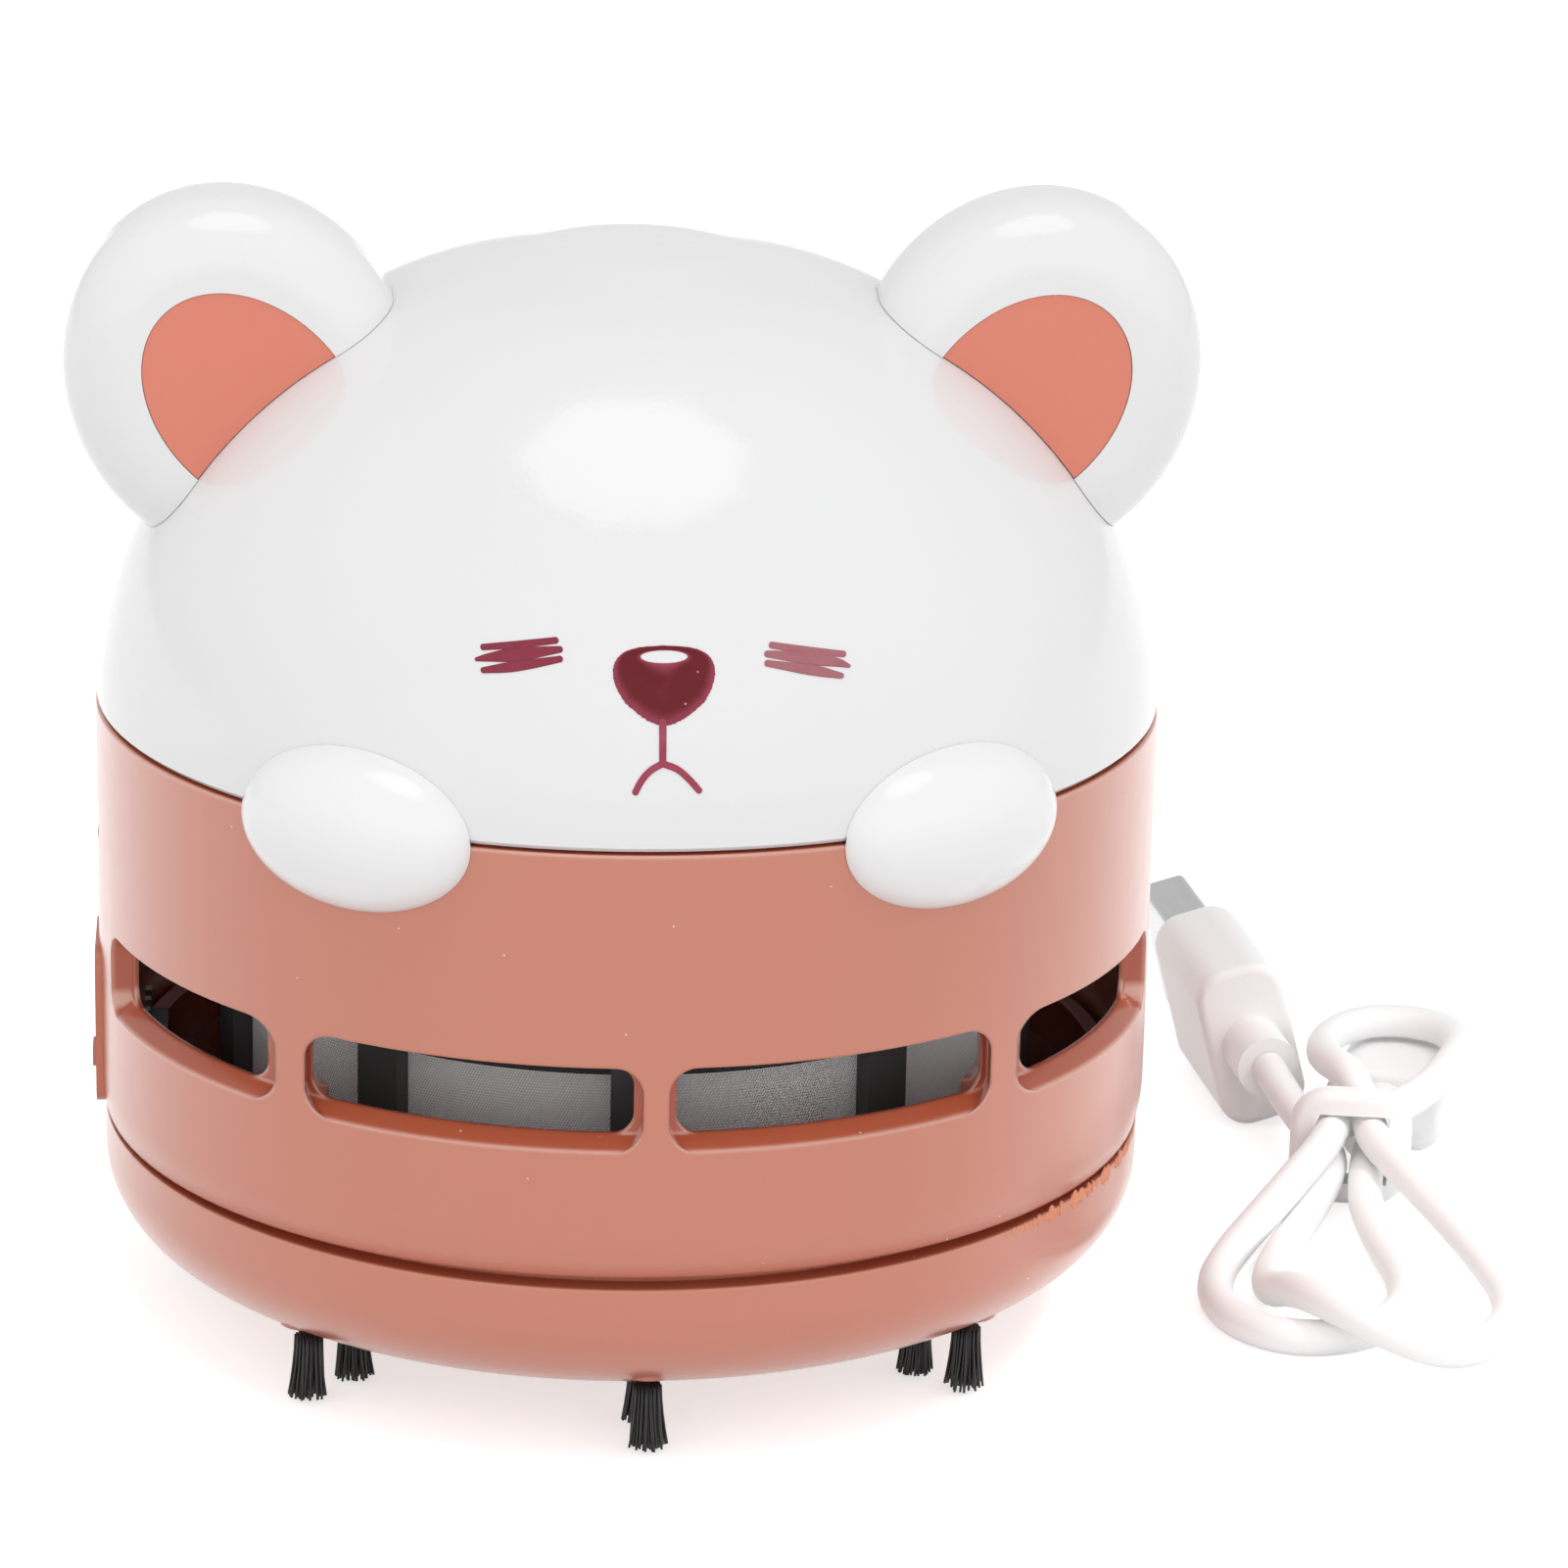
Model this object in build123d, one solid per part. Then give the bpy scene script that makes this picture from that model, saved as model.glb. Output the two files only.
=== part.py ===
"""Desktop mini vacuum cleaner with a bear's head for a top cover.

All sizes in millimetres. The origin is on the desk under the middle of the round housing,
+Z is up and the bear faces -Y. An azimuth is counted from the front, positive towards +X.
"""
from build123d import *
from math import asin, atan2, cos, degrees, pi, radians, sin, tan
import os

os.makedirs("parts", exist_ok=True)

# ---- Driving dimensions -------------------------------------------------------------------
fit_gap = 0.05            # between pieces that seat in or on one another
slide_gap = 0.3           # between pieces that are pulled apart by hand
shaft_gap = 0.04          # radial play of the shaft in its bearings

brush_height = 5.2        # free length of the bristles under the flat base
cover_height = 11.15      # bottom cover, from its flat underside to its top edge
seam_height = 0.3         # seam between bottom cover and housing
finger_relief = 0.75      # the seam opens this much more towards the front
housing_height = 34.05    # salmon housing, from the seam to the rim
dome_height = 37.3        # white top cover above the rim

housing_radius = 43.0
housing_wall = 2.0
housing_foot_inset = 0.4  # how far the lower edge of the housing is rounded in
housing_foot_height = 3.0
rim_edge = 0.12           # small break of the outer edge at the rim
cover_inset = 0.4         # the bottom cover is this much smaller in radius
cover_wall = 2.0
cover_corner_width = 8.9  # elliptical corner between the flat underside and the side
cover_corner_height = 7.7
cover_edge = 0.15         # small break of the outer edge at the seam
collar_height = 3.65      # spigot of the cover that plugs into the housing
collar_wall = 1.7
collar_edge = 0.4

inlet_radius = 8.0        # suction inlet in the middle of the underside
inlet_wall = 1.4
inlet_height = 6.8
inlet_chamfer = 0.8

tuft_rows = 8
tuft_row_radii = (32.0, 37.0)
tuft_root_radius = 1.15
tuft_tip_radius = 1.75
tuft_socket_depth = 2.6
tuft_socket_wall = 1.2

cage_air_gap = 7.0        # radial air gap between the filter cage and the housing
cage_wall = 1.6
cage_posts = 10
cage_post_width = 3.8
cage_turn = -1.8          # azimuth of the first post
cage_window_bottom = 16.4
cage_ring_height = 2.25
cage_seat_height = 2.0    # ring in the cover that the cage stands on
cage_seat_step = 0.8      # the seat is this much wider than the cage
cage_lip_height = 1.6     # lip inside the cage that centres it
cage_lip_wall = 1.0
mesh_thickness = 0.3
mesh_overlap = 1.2        # how far the mesh runs behind the rings of the cage
seal_height = 1.0

slot_top_drop = 16.9      # from the rim down to the top edge of the slots
slot_height = 6.8         # at the outside of the wall
slot_lip_rise = 1.0       # the lower lip climbs this much towards the inside
slot_top_lip = 0.4
slot_land = 0.4           # thin edge left at the inside of the wall
slot_corner = 2.2
slot_inner_corner = 1.6
front_slot_span = (1.3, 38.0)   # degrees from the front or back axis
front_slot_lips = (0.64, 0.64)  # lips at the two ends
side_slot_span = (13.5, 48.0)   # degrees from the left or right axis
side_slot_lips = (0.64, 2.7)

ledge_width = 2.2
ledge_height = 1.35
carrier_thickness = 1.6
rib_azimuths = (0, 40, 140, 180, 220, 320)
rib_width = 1.2
seat_width = 1.4
seat_height = 1.4

dome_inset = 0.1
dome_wall = 2.0
dome_side_power = 2.26    # superellipse powers of the dome's outline
dome_top_power = 1.85
rim_gap = 0.2             # seam between the housing's rim and the dome
dome_lip_height = 3.0
dome_lip_wall = 1.6
dome_edge_chamfer = 0.35
screw_post_radius = 2.8
screw_azimuths = (60, 180, 300)
screw_radius = 1.2
screw_head_radius = 2.5
screw_head_height = 1.6
screw_length = 9.0
screw_head_edge = 0.7
screw_cross = (3.0, 0.7, 1.6)    # length, width and height of the cross slot

ear_angle = 41.2          # above the horizontal, seen from the middle of the rim
ear_stand_off = 0.9       # centre of the ear outside the surface of the dome
ear_half_width = 13.6
ear_half_length = 15.3
ear_turn = 26.5           # degrees that the ear's long axis leans out from upright
ear_depth = 14.0
ear_setback = 3.4         # the ear's middle lies this far in front of the centre
ear_round = 5.6
ear_wall = 1.8
inset_half_width = 7.4
inset_half_length = 10.0
inset_turn = 42.6
inset_shift = (1.0, -0.8)
inset_depth = 1.0
tongue_width = 8.0
tongue_depth = 4.0
tongue_reach = 3.0

paw_azimuth = 32.5
paw_half_width = 10.0
paw_half_height = 6.45
paw_half_depth = 5.4
paw_centre_inset = 1.5
paw_drop = 0.1
paw_tilt = 1.0
peg_radius = 1.2
peg_drop = 3.6
peg_inner_reach = 0.6     # behind the inside of the housing wall
peg_outer_reach = 0.9     # inside the paw

motor_radius = 10.1
motor_flat = 15.2         # across the two flats of the can
motor_length = 20.0
motor_cap_length = 4.8
motor_boss_radius = 3.0
motor_boss_length = 1.5
motor_cap_inset = 0.4     # the end cap is this much smaller than the can
motor_cap_plate = 3.6     # height of the end cap round its bearing boss
terminal_size = (0.4, 2.4, 4.15)
terminal_inset = 3.0      # from the can's radius in to the terminals
terminal_hole_radius = 0.5
shaft_radius = 1.0
shaft_tail = 1.2
well_wall = 1.7
well_floor = 1.6
well_depth = 8.8          # from the underside of the carrier plate to the motor's well floor
well_rise = 4.0

impeller_radius = 24.0
impeller_drop = 1.0       # running gap under the well
backplate_thickness = 1.2
blade_height = 8.0
blade_rise = 2.4          # the lower edge climbs towards the rim
blade_count = 9
blade_thickness = 1.2
blade_inner_radius = 8.0
blade_lean = 38.0         # degrees that a blade's tip trails its root
hub_radius = 3.2
hub_nose = 1.6

cell_radius = 7.0         # 14500 lithium cell
cell_length = 49.0
cell_button_radius = 2.6
cell_button_height = 0.8
cradle_width = 4.0
cradle_spacing = 30.0
cradle_wall = 1.6
cradle_floor = 1.0
radial_play = 0.5         # between the cell and the rear screw post

board_length = 22.0
board_width = 21.0
board_thickness = 1.2
board_stand_off = 2.4
board_post_radius = 1.8
port_width = 7.5
port_depth = 5.6
port_height = 2.6
port_wall = 0.35
port_hole_width = 8.4
port_hole_height = 3.6
chip_size = (5.0, 5.0, 1.5)
inductor_radius = 2.5
inductor_height = 2.5
capacitor_size = (3.0, 1.8, 1.1)
lamp_size = (1.6, 1.0, 0.8)
chip_row = 12.5           # from the board's outer edge to the row of parts

panel_width = 11.0
panel_height = 13.3
panel_lift = 0.4          # above the lower edge of the housing
panel_proud = 0.25
panel_back = 1.2
panel_corner = 2.0
knob_width = 2.6
knob_height = 1.6
knob_proud = 0.35
knob_travel = 2.0
knob_groove = 0.3         # grip grooves in its face
knob_lift = 3.6           # centre above the lower edge of the housing
switch_width = 8.8
switch_height = 3.6
switch_depth = 3.2
switch_pin_height = 2.4
switch_pin_size = (0.5, 1.0)     # thickness and width
switch_pin_pitch = 2.5

cable_radius = 1.5
cable_place = (64.0, 14.0)   # where the tie lies on the desk
cable_turn = -10.0           # degrees from the +Y direction
tie_wall = 2.0
tie_width = 2.6
neck_half_width = 3.2
neck_length = 1.6
loop_a = (-2.7, -27.1, 9.75)     # big loops: across, along, outer radius
loop_b = (3.75, -27.9, 11.2)
top_loop = (3.5, 16.0, 7.4)
usb_a_end = (-7.4, 11.2)         # where the cable leaves each plug
usb_a_lean = 15.4                # degrees that each plug points away from the hank's axis
usb_a_roll = 75.0                # the plug stands on its narrow side, leaning a little
usb_a_axis_z = 7.75
micro_end = (1.8, 7.4)
micro_lean = -10.6
usb_a_grip = (15.0, 8.0, 17.0)   # width, thickness, length
usb_a_shell = (12.0, 4.5, 12.4)
usb_a_hole = (2.0, 2.4)          # the two latch holes: width, length
usb_a_hole_place = (2.2, 6.2)    # from the middle, and back from the shell's mouth
usb_a_tongue_thickness = 1.9
usb_a_tongue_setback = 1.6       # behind the shell's mouth
micro_grip = (10.6, 7.0, 15.6)
micro_shell = (6.85, 1.8, 6.6)
micro_hole = (0.9, 1.5)
micro_hole_place = (2.1, 2.6)
relief_radius = 2.75
relief_length = 5.7
grip_round = 0.35                # corner radius of a grip as a share of its thickness
grip_edge = 0.8
metal_wall = 0.35
metal_floor = 1.0                # solid root of each metal shell

# ---- Heights and radii that follow ---------------------------------------------------------
cover_base_z = brush_height
cover_top_z = cover_base_z + cover_height
housing_base_z = cover_top_z + seam_height
rim_z = housing_base_z + housing_height
dome_base_z = rim_z + rim_gap
dome_radius = housing_radius - dome_inset
bore_radius = housing_radius - housing_wall
cover_radius = housing_radius - cover_inset
collar_radius = bore_radius - slide_gap
collar_top_z = cover_top_z + collar_height
cage_radius = bore_radius - cage_air_gap
cage_inner = cage_radius - cage_wall
screw_circle = cage_inner - screw_head_radius - slide_gap
slot_top_z = rim_z - slot_top_drop
slot_bottom_z = slot_top_z - slot_height
carrier_bottom_z = slot_top_z + 0.6
carrier_top_z = carrier_bottom_z + carrier_thickness
ledge_z = carrier_top_z + fit_gap
cage_top_z = carrier_bottom_z - seal_height - slide_gap
cage_floor_z = cover_base_z + cover_wall + cage_seat_height
well_bottom_z = carrier_bottom_z - well_depth
motor_z = well_bottom_z + well_floor
backplate_top_z = well_bottom_z - impeller_drop
cell_y = screw_circle - screw_post_radius - radial_play - cell_radius
cell_z = carrier_top_z + cradle_floor + cell_radius
knob_z = housing_base_z + knob_lift
panel_face_x = -(housing_radius + panel_proud)
panel_back_x = -(housing_radius - panel_back)
panel_z = housing_base_z + panel_lift + panel_height / 2
switch_front_x = -(bore_radius - slide_gap)
board_z = carrier_top_z + board_stand_off
port_z = board_z + board_thickness + port_height / 2
lower_z = tie_wall + cable_radius + fit_gap          # lower pair of strands in the tie
upper_z = lower_z + 2 * cable_radius + fit_gap       # upper pair
loop_thickness = upper_z - lower_z + 2 * cable_radius


# ---- Shared forms --------------------------------------------------------------------------
def ring(outer, inner, bottom, top):
    """Upright tube between two heights."""
    return Pos(0, 0, bottom) * extrude(Circle(outer) - Circle(inner), top - bottom)


def rod(radius, bottom, top):
    """Upright round bar between two heights."""
    return Pos(0, 0, bottom) * extrude(Circle(radius), top - bottom)


def box_between(low, high):
    """Box from its low corner to its high corner."""
    size = [b - a for a, b in zip(low, high)]
    middle = [(a + b) / 2 for a, b in zip(low, high)]
    return Pos(*middle) * Box(*size)


def turned(azimuth):
    """Turn from the front to another azimuth."""
    return Rot(0, 0, azimuth)


def spun(points):
    """Solid of revolution about +Z from a closed outline of (radius, height) points."""
    return revolve(Plane.XZ * make_face(Polyline(*points, close=True)), Axis.Z)


def segment(outer, inner, bottom, top, arc):
    """Part of a ring, centred on the front."""
    middle = Pos((outer + inner) / 2, (bottom + top) / 2)
    section = Plane.XZ * middle * Rectangle(outer - inner, top - bottom)
    return Rot(0, 0, -90 - arc / 2) * revolve(section, Axis.Z, arc)


def save(node, shape):
    """Write one node; a group of like pieces stays a group of separate solids."""
    solids = shape.solids()
    part = solids[0] if len(solids) == 1 else Compound(children=list(solids))
    part.label = node
    export_step(part, os.path.join("parts", node + ".step"))
    return part


# ---- Bottom cover with its inlet, collar and brush sockets ------------------------------------
def cover_solid():
    """Dished cover: flat underside, elliptical corner, and a collar that plugs into the housing."""
    flat = cover_radius - cover_corner_width
    corner_z = cover_base_z + cover_corner_height
    inner_wall = collar_radius - collar_wall
    floor_z = cover_base_z + cover_wall
    corner = (flat, corner_z)
    outer_arc = EllipticalCenterArc(
        corner, cover_corner_width, cover_corner_height, start_angle=270, arc_size=90
    )
    inner_arc = EllipticalCenterArc(
        corner, inner_wall - flat, corner_z - floor_z, start_angle=270, arc_size=90
    )
    side = Polyline(
        outer_arc @ 1,
        (cover_radius, cover_top_z - cover_edge),
        (cover_radius - cover_edge, cover_top_z),
        (collar_radius, cover_top_z),
        (collar_radius, collar_top_z - collar_edge),
        (collar_radius - collar_edge, collar_top_z),
        (inner_wall, collar_top_z),
        inner_arc @ 1,
    )
    bottom = Polyline(outer_arc @ 0, (0, cover_base_z), (0, floor_z), inner_arc @ 0)
    outline = Wire([outer_arc, *side.edges(), inner_arc, *bottom.edges()])
    return revolve(Plane.XZ * make_face(outline.edges()), Axis.Z)


def tuft_places():
    """(radius, azimuth) of every tuft: two in each row."""
    step = 360 / tuft_rows
    return [(r, step * i) for i in range(tuft_rows) for r in tuft_row_radii]


def tuft(radius, azimuth, root_gap=0.0):
    """One tuft: a straight root in its socket, then bristles that spread towards the desk."""
    root_top = cover_base_z + tuft_socket_depth
    root = rod(tuft_root_radius + root_gap, cover_base_z, root_top)
    if root_gap:
        shape = root
    else:
        spread = Cone(tuft_tip_radius, tuft_root_radius, brush_height)
        shape = root + Pos(0, 0, brush_height / 2) * spread
    return turned(azimuth) * Pos(0, -radius, 0) * shape


def finger_wedge():
    """What the cover's top edge loses at the front, so that a nail can open the seam."""
    reach = 2 * housing_radius
    drop = finger_relief * reach / cover_radius
    side = Polyline(
        (0, cover_top_z), (-reach, cover_top_z - drop), (-reach, cover_top_z + drop), close=True
    )
    wedge = extrude(Plane.YZ * make_face(side), reach, both=True)
    return wedge - rod(collar_radius, 0, rim_z)


def bottom_cover():
    floor_z = cover_base_z + cover_wall
    inlet_top = cover_base_z + inlet_height
    socket_top = cover_base_z + tuft_socket_depth + tuft_socket_wall
    shape = cover_solid() - finger_wedge()
    shape += ring(inlet_radius + inlet_wall, inlet_radius - 1, cover_base_z, inlet_top)
    lip_outer = cage_inner - mesh_thickness - 2 * fit_gap
    lip_inner = lip_outer - cage_lip_wall
    shape += ring(cage_radius + cage_seat_step, lip_inner, floor_z - 0.5, cage_floor_z)
    shape += ring(lip_outer, lip_inner, cage_floor_z - 0.5, cage_floor_z + cage_lip_height)
    for radius, azimuth in tuft_places():
        boss = rod(tuft_root_radius + tuft_socket_wall, floor_z - 0.5, socket_top)
        shape += turned(azimuth) * Pos(0, -radius, 0) * boss
    shape -= ring(cage_radius + slide_gap, lip_outer, cage_floor_z, socket_top + 1)
    for radius, azimuth in tuft_places():
        shape -= tuft(radius, azimuth, root_gap=fit_gap)
    shape -= rod(inlet_radius, cover_base_z - 1, collar_top_z)
    mouth = Cone(inlet_radius + inlet_chamfer, inlet_radius, inlet_chamfer)
    shape -= Pos(0, 0, cover_base_z + inlet_chamfer / 2) * mouth
    notch = switch_width / 2 + 1.0
    shape -= box_between(
        (-housing_radius, -notch, cover_top_z), (-cage_radius, notch, collar_top_z + 1)
    )
    return shape


def brush_tufts():
    shape = Compound(children=[tuft(r, a) for r, a in tuft_places()])
    return shape


# ---- Filter: a cage of posts between two rings, with woven mesh inside it ------------------------
def filter_cage():
    shape = ring(cage_radius, cage_inner, cage_floor_z + fit_gap, cage_top_z)
    post_arc = degrees(cage_post_width / cage_radius)
    pitch = 360 / cage_posts
    window = segment(
        cage_radius + 1,
        cage_inner - 1,
        cage_window_bottom,
        cage_top_z - cage_ring_height,
        pitch - post_arc,
    )
    for i in range(cage_posts):
        shape -= turned(cage_turn + pitch * (i + 0.5)) * window
    return shape


def filter_mesh():
    outer = cage_inner - fit_gap
    top = cage_top_z - cage_ring_height + mesh_overlap
    return ring(outer, outer - mesh_thickness, cage_window_bottom - mesh_overlap, top)


def filter_seal():
    bottom = carrier_bottom_z - fit_gap - seal_height
    return ring(cage_radius, cage_inner, bottom, carrier_bottom_z - fit_gap)


# ---- Housing ----------------------------------------------------------------------------------
def housing_tube():
    """Round wall with the ledge that the motor carrier hangs from and the seat of the top cover."""
    seat_top = rim_z - dome_lip_height - fit_gap
    ledge_top = ledge_z + ledge_height
    foot = ThreePointArc(
        (housing_radius - housing_foot_inset, housing_base_z),
        (housing_radius - housing_foot_inset * 0.27, housing_base_z + housing_foot_height * 0.46),
        (housing_radius, housing_base_z + housing_foot_height),
    )
    rest = Polyline(
        (housing_radius, housing_base_z + housing_foot_height),
        (housing_radius, rim_z - rim_edge),
        (housing_radius - rim_edge, rim_z),
        (bore_radius, rim_z),
        (bore_radius, seat_top),
        (bore_radius - seat_width, seat_top),
        (bore_radius - seat_width, seat_top - seat_height),
        (bore_radius, seat_top - seat_height - seat_width),
        (bore_radius, ledge_top),
        (bore_radius - ledge_width, ledge_top),
        (bore_radius - ledge_width, ledge_z),
        (bore_radius, ledge_z),
        (bore_radius, housing_base_z),
        (housing_radius - housing_foot_inset, housing_base_z),
    )
    outline = Wire([foot, *rest.edges()])
    return revolve(Plane.XZ * make_face(outline.edges()), Axis.Z)


def slot_cutter(span, lips):
    """One exhaust slot to the right of the front axis, cut the way a mould slide pulls."""
    left = housing_radius * sin(radians(span[0]))
    right = housing_radius * sin(radians(span[1]))
    lip_radius = bore_radius + slot_land
    lip_z = slot_bottom_z + slot_lip_rise
    head_z = slot_top_z - slot_top_lip
    reach = housing_radius + 3
    recess_place = Pos((left + right) / 2, (slot_bottom_z + slot_top_z) / 2)
    recess = RectangleRounded(right - left, slot_height, slot_corner)
    lip_ring = spun(
        [
            (lip_radius, lip_z),
            (housing_radius, slot_bottom_z),
            (reach, slot_bottom_z),
            (reach, slot_top_z),
            (housing_radius, slot_top_z),
            (lip_radius, head_z),
        ]
    )
    hole_place = Pos((left + lips[0] + right - lips[1]) / 2, (lip_z + head_z) / 2)
    hole_width = right - left - lips[0] - lips[1]
    hole = RectangleRounded(hole_width, head_z - lip_z, slot_inner_corner)
    pocket = extrude(Plane.XZ * recess_place * recess, reach) & lip_ring
    return pocket + extrude(Plane.XZ * hole_place * hole, reach)


def slot_cutters():
    """All eight slots: two each side of the front, back, left and right axes."""
    cutters = []
    for quarter in range(4):
        if quarter % 2:
            one = slot_cutter(side_slot_span, side_slot_lips)
        else:
            one = slot_cutter(front_slot_span, front_slot_lips)
        cutters.append(turned(90 * quarter) * one)
        cutters.append(turned(90 * quarter) * mirror(one, Plane.YZ))
    return cutters


def panel_block(gap):
    """Rounded block that the side panel fills, grown by a gap."""
    outline = RectangleRounded(panel_width + 2 * gap, panel_height + 2 * gap, panel_corner)
    depth = panel_face_x - panel_back_x - gap
    return extrude(Plane.YZ * Pos(0, panel_z) * outline, depth).moved(Pos(panel_back_x + gap, 0, 0))


def knob_window(low_x, high_x):
    """Slit that the switch knob slides in."""
    half = (knob_width + knob_travel) / 2 + 0.2
    tall = knob_height / 2 + 0.15
    return box_between((low_x, -half, knob_z - tall), (high_x, half, knob_z + tall))


def housing():
    shape = housing_tube()
    for azimuth in rib_azimuths:
        rib = box_between(
            (-rib_width / 2, -(bore_radius + 0.3), collar_top_z + fit_gap),
            (rib_width / 2, -(collar_radius - collar_wall), carrier_bottom_z - slide_gap),
        )
        shape += turned(azimuth) * rib
    for cutter in slot_cutters():
        shape -= cutter
    shape -= panel_block(fit_gap)
    shape -= knob_window(-housing_radius - 1, -bore_radius + 2)
    port = Plane.YZ * Pos(0, port_z) * SlotOverall(port_hole_width, port_hole_height)
    shape -= extrude(port, -housing_radius - 1)
    for side in (-1, 1):
        shape -= turned(side * paw_azimuth) * paw_peg(fit_gap)
    return shape


# ---- Side panel with the power switch -----------------------------------------------------------
def side_panel():
    shape = panel_block(0)
    shape -= knob_window(-housing_radius - 3, -bore_radius)
    return shape


def switch_body():
    back = switch_front_x + switch_depth
    low_z = knob_z - switch_height / 2
    shape = box_between(
        (switch_front_x, -switch_width / 2, low_z), (back, switch_width / 2, low_z + switch_height)
    )
    shape -= knob_window(switch_front_x - 1, switch_front_x + 0.9)
    return shape


def switch_pins():
    top = knob_z + switch_height / 2 + fit_gap / 2
    x = switch_front_x + switch_depth / 2
    thick, wide = switch_pin_size
    pin = Pos(x, 0, top + switch_pin_height / 2) * Box(thick, wide, switch_pin_height)
    return Compound(children=[Pos(0, k * switch_pin_pitch, 0) * pin for k in (-1, 0, 1)])


def switch_knob():
    """Knob in its off position, with three grip ridges on its face."""
    rest_y = -knob_travel / 2
    face_x = panel_face_x - knob_proud
    shape = box_between(
        (face_x, rest_y - knob_width / 2, knob_z - knob_height / 2),
        (switch_front_x + 0.8, rest_y + knob_width / 2, knob_z + knob_height / 2),
    )
    for k in (-1, 0, 1):
        y = rest_y + k * knob_width / 4
        shape -= Pos(face_x, y, knob_z) * Box(knob_groove, knob_groove, 2 * knob_height)
    return shape


# ---- Top cover: the bear's head ----------------------------------------------------------------
def dome_curve(radius, height, start_z):
    """Outline of the dome from a height near the rim to its top: a quarter of a superellipse."""
    steps = 9
    rise = max(start_z - rim_z, 0) / height
    first = asin(rise ** (dome_top_power / 2))
    points = []
    for i in range(steps):
        t = first + (pi / 2 - first) * i / steps
        across = radius * cos(t) ** (2 / dome_side_power)
        up = height * sin(t) ** (2 / dome_top_power)
        points.append((across, rim_z + up))
    points.append((0, rim_z + height))
    return Spline(*points, tangents=[(0, 1), (-1, 0)])


def dome_solid(grow=0.0):
    """Solid inside the dome's outline, spun about +Z."""
    curve = dome_curve(dome_radius + grow, dome_height + grow, rim_z)
    base = Polyline(curve @ 1, (0, rim_z), curve @ 0)
    return revolve(Plane.XZ * make_face([curve, *base.edges()]), Axis.Z)


def dome_reach(angle):
    """Distance from the middle of the rim to the dome's surface at an angle above horizontal."""
    low = 0.0
    high = 2 * (dome_radius + dome_height)
    for _ in range(50):
        middle = (low + high) / 2
        across = middle * cos(radians(angle)) / dome_radius
        up = middle * sin(radians(angle)) / dome_height
        if across**dome_side_power + up**dome_top_power < 1:
            low = middle
        else:
            high = middle
    return middle


def dome_shell():
    """Wall of the dome with the lip that drops into the housing."""
    lip_radius = bore_radius - 3 * fit_gap
    lip_inner = lip_radius - dome_lip_wall
    lip_bottom = rim_z - dome_lip_height
    edge_z = dome_base_z + dome_edge_chamfer
    outer = dome_curve(dome_radius, dome_height, edge_z)
    inner = dome_curve(lip_inner, dome_height - dome_wall, edge_z)
    top = Line(outer @ 1, inner @ 1)
    lip = Polyline(
        inner @ 0,
        (lip_inner, lip_bottom),
        (lip_radius - 0.4, lip_bottom),
        (lip_radius, lip_bottom + 0.4),
        (lip_radius, dome_base_z),
        (dome_radius - dome_edge_chamfer, dome_base_z),
        outer @ 0,
    )
    return revolve(Plane.XZ * make_face([outer, top, inner, *lip.edges()]), Axis.Z)


def top_cover():
    shape = dome_shell()
    high = Pos(0, -screw_circle, 0) * rod(screw_post_radius, rim_z, rim_z + dome_height)
    low = Pos(0, -screw_circle, 0) * rod(screw_post_radius, carrier_top_z + fit_gap, rim_z)
    post = (high & dome_solid(-dome_wall / 2)) + low
    pilot = rod(screw_radius, carrier_top_z, carrier_top_z + screw_length)
    for azimuth in screw_azimuths:
        shape += turned(azimuth) * post
    for azimuth in screw_azimuths:
        shape -= turned(azimuth) * Pos(0, -screw_circle, 0) * pilot
    for side in (-1, 1):
        shape -= ear_tongue(side, fit_gap)
    return shape


# ---- Ears ---------------------------------------------------------------------------------------
def ear_centre(side):
    """Middle of an ear in the X-Z plane; side is -1 for the left ear."""
    reach = dome_reach(ear_angle) + ear_stand_off
    x = side * reach * cos(radians(ear_angle))
    return (x, rim_z + reach * sin(radians(ear_angle)))


def ear_disc(side, half_width, half_length, turn, depth, rounding, shift=(0, 0)):
    """Upright elliptical disc with rounded rims, on the ear's centre."""
    x, z = ear_centre(side)
    place = Pos(x - side * shift[0], z + shift[1]) * Rot(0, 0, -side * turn)
    disc = extrude(Plane.XZ * place * Ellipse(half_width, half_length), depth / 2, both=True)
    if rounding:
        disc = fillet(disc.edges(), rounding)
    return Pos(0, -ear_setback, 0) * disc


def ear_tongue(side, gap):
    """Flat tongue along the ear's axis that plugs through the dome."""
    reach = dome_reach(ear_angle)
    start = reach - dome_wall - tongue_reach - gap
    stop = reach + ear_stand_off + ear_half_width - ear_wall / 2
    bar = Box(stop - start, tongue_depth + 2 * gap, tongue_width + 2 * gap)
    tilt = Rot(0, -ear_angle, 0) if side > 0 else Rot(0, ear_angle - 180, 0)
    return Pos(0, -ear_setback, rim_z) * tilt * Pos((start + stop) / 2, 0, 0) * bar


def ear(side):
    """Hollow ear shell, open towards the dome, with its tongue and the recess of the inset."""
    outer = ear_disc(side, ear_half_width, ear_half_length, ear_turn, ear_depth, ear_round)
    core = ear_disc(
        side,
        ear_half_width - ear_wall,
        ear_half_length - ear_wall,
        ear_turn,
        ear_depth - 2 * ear_wall,
        ear_round - ear_wall,
    )
    shape = outer - core - dome_solid(fit_gap) - ear_inset_block(side, 0)
    outside = ear_tongue(side, 0) - dome_solid(fit_gap)
    inside = ear_tongue(side, 0) & dome_solid(fit_gap)
    return shape + outside + inside


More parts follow.
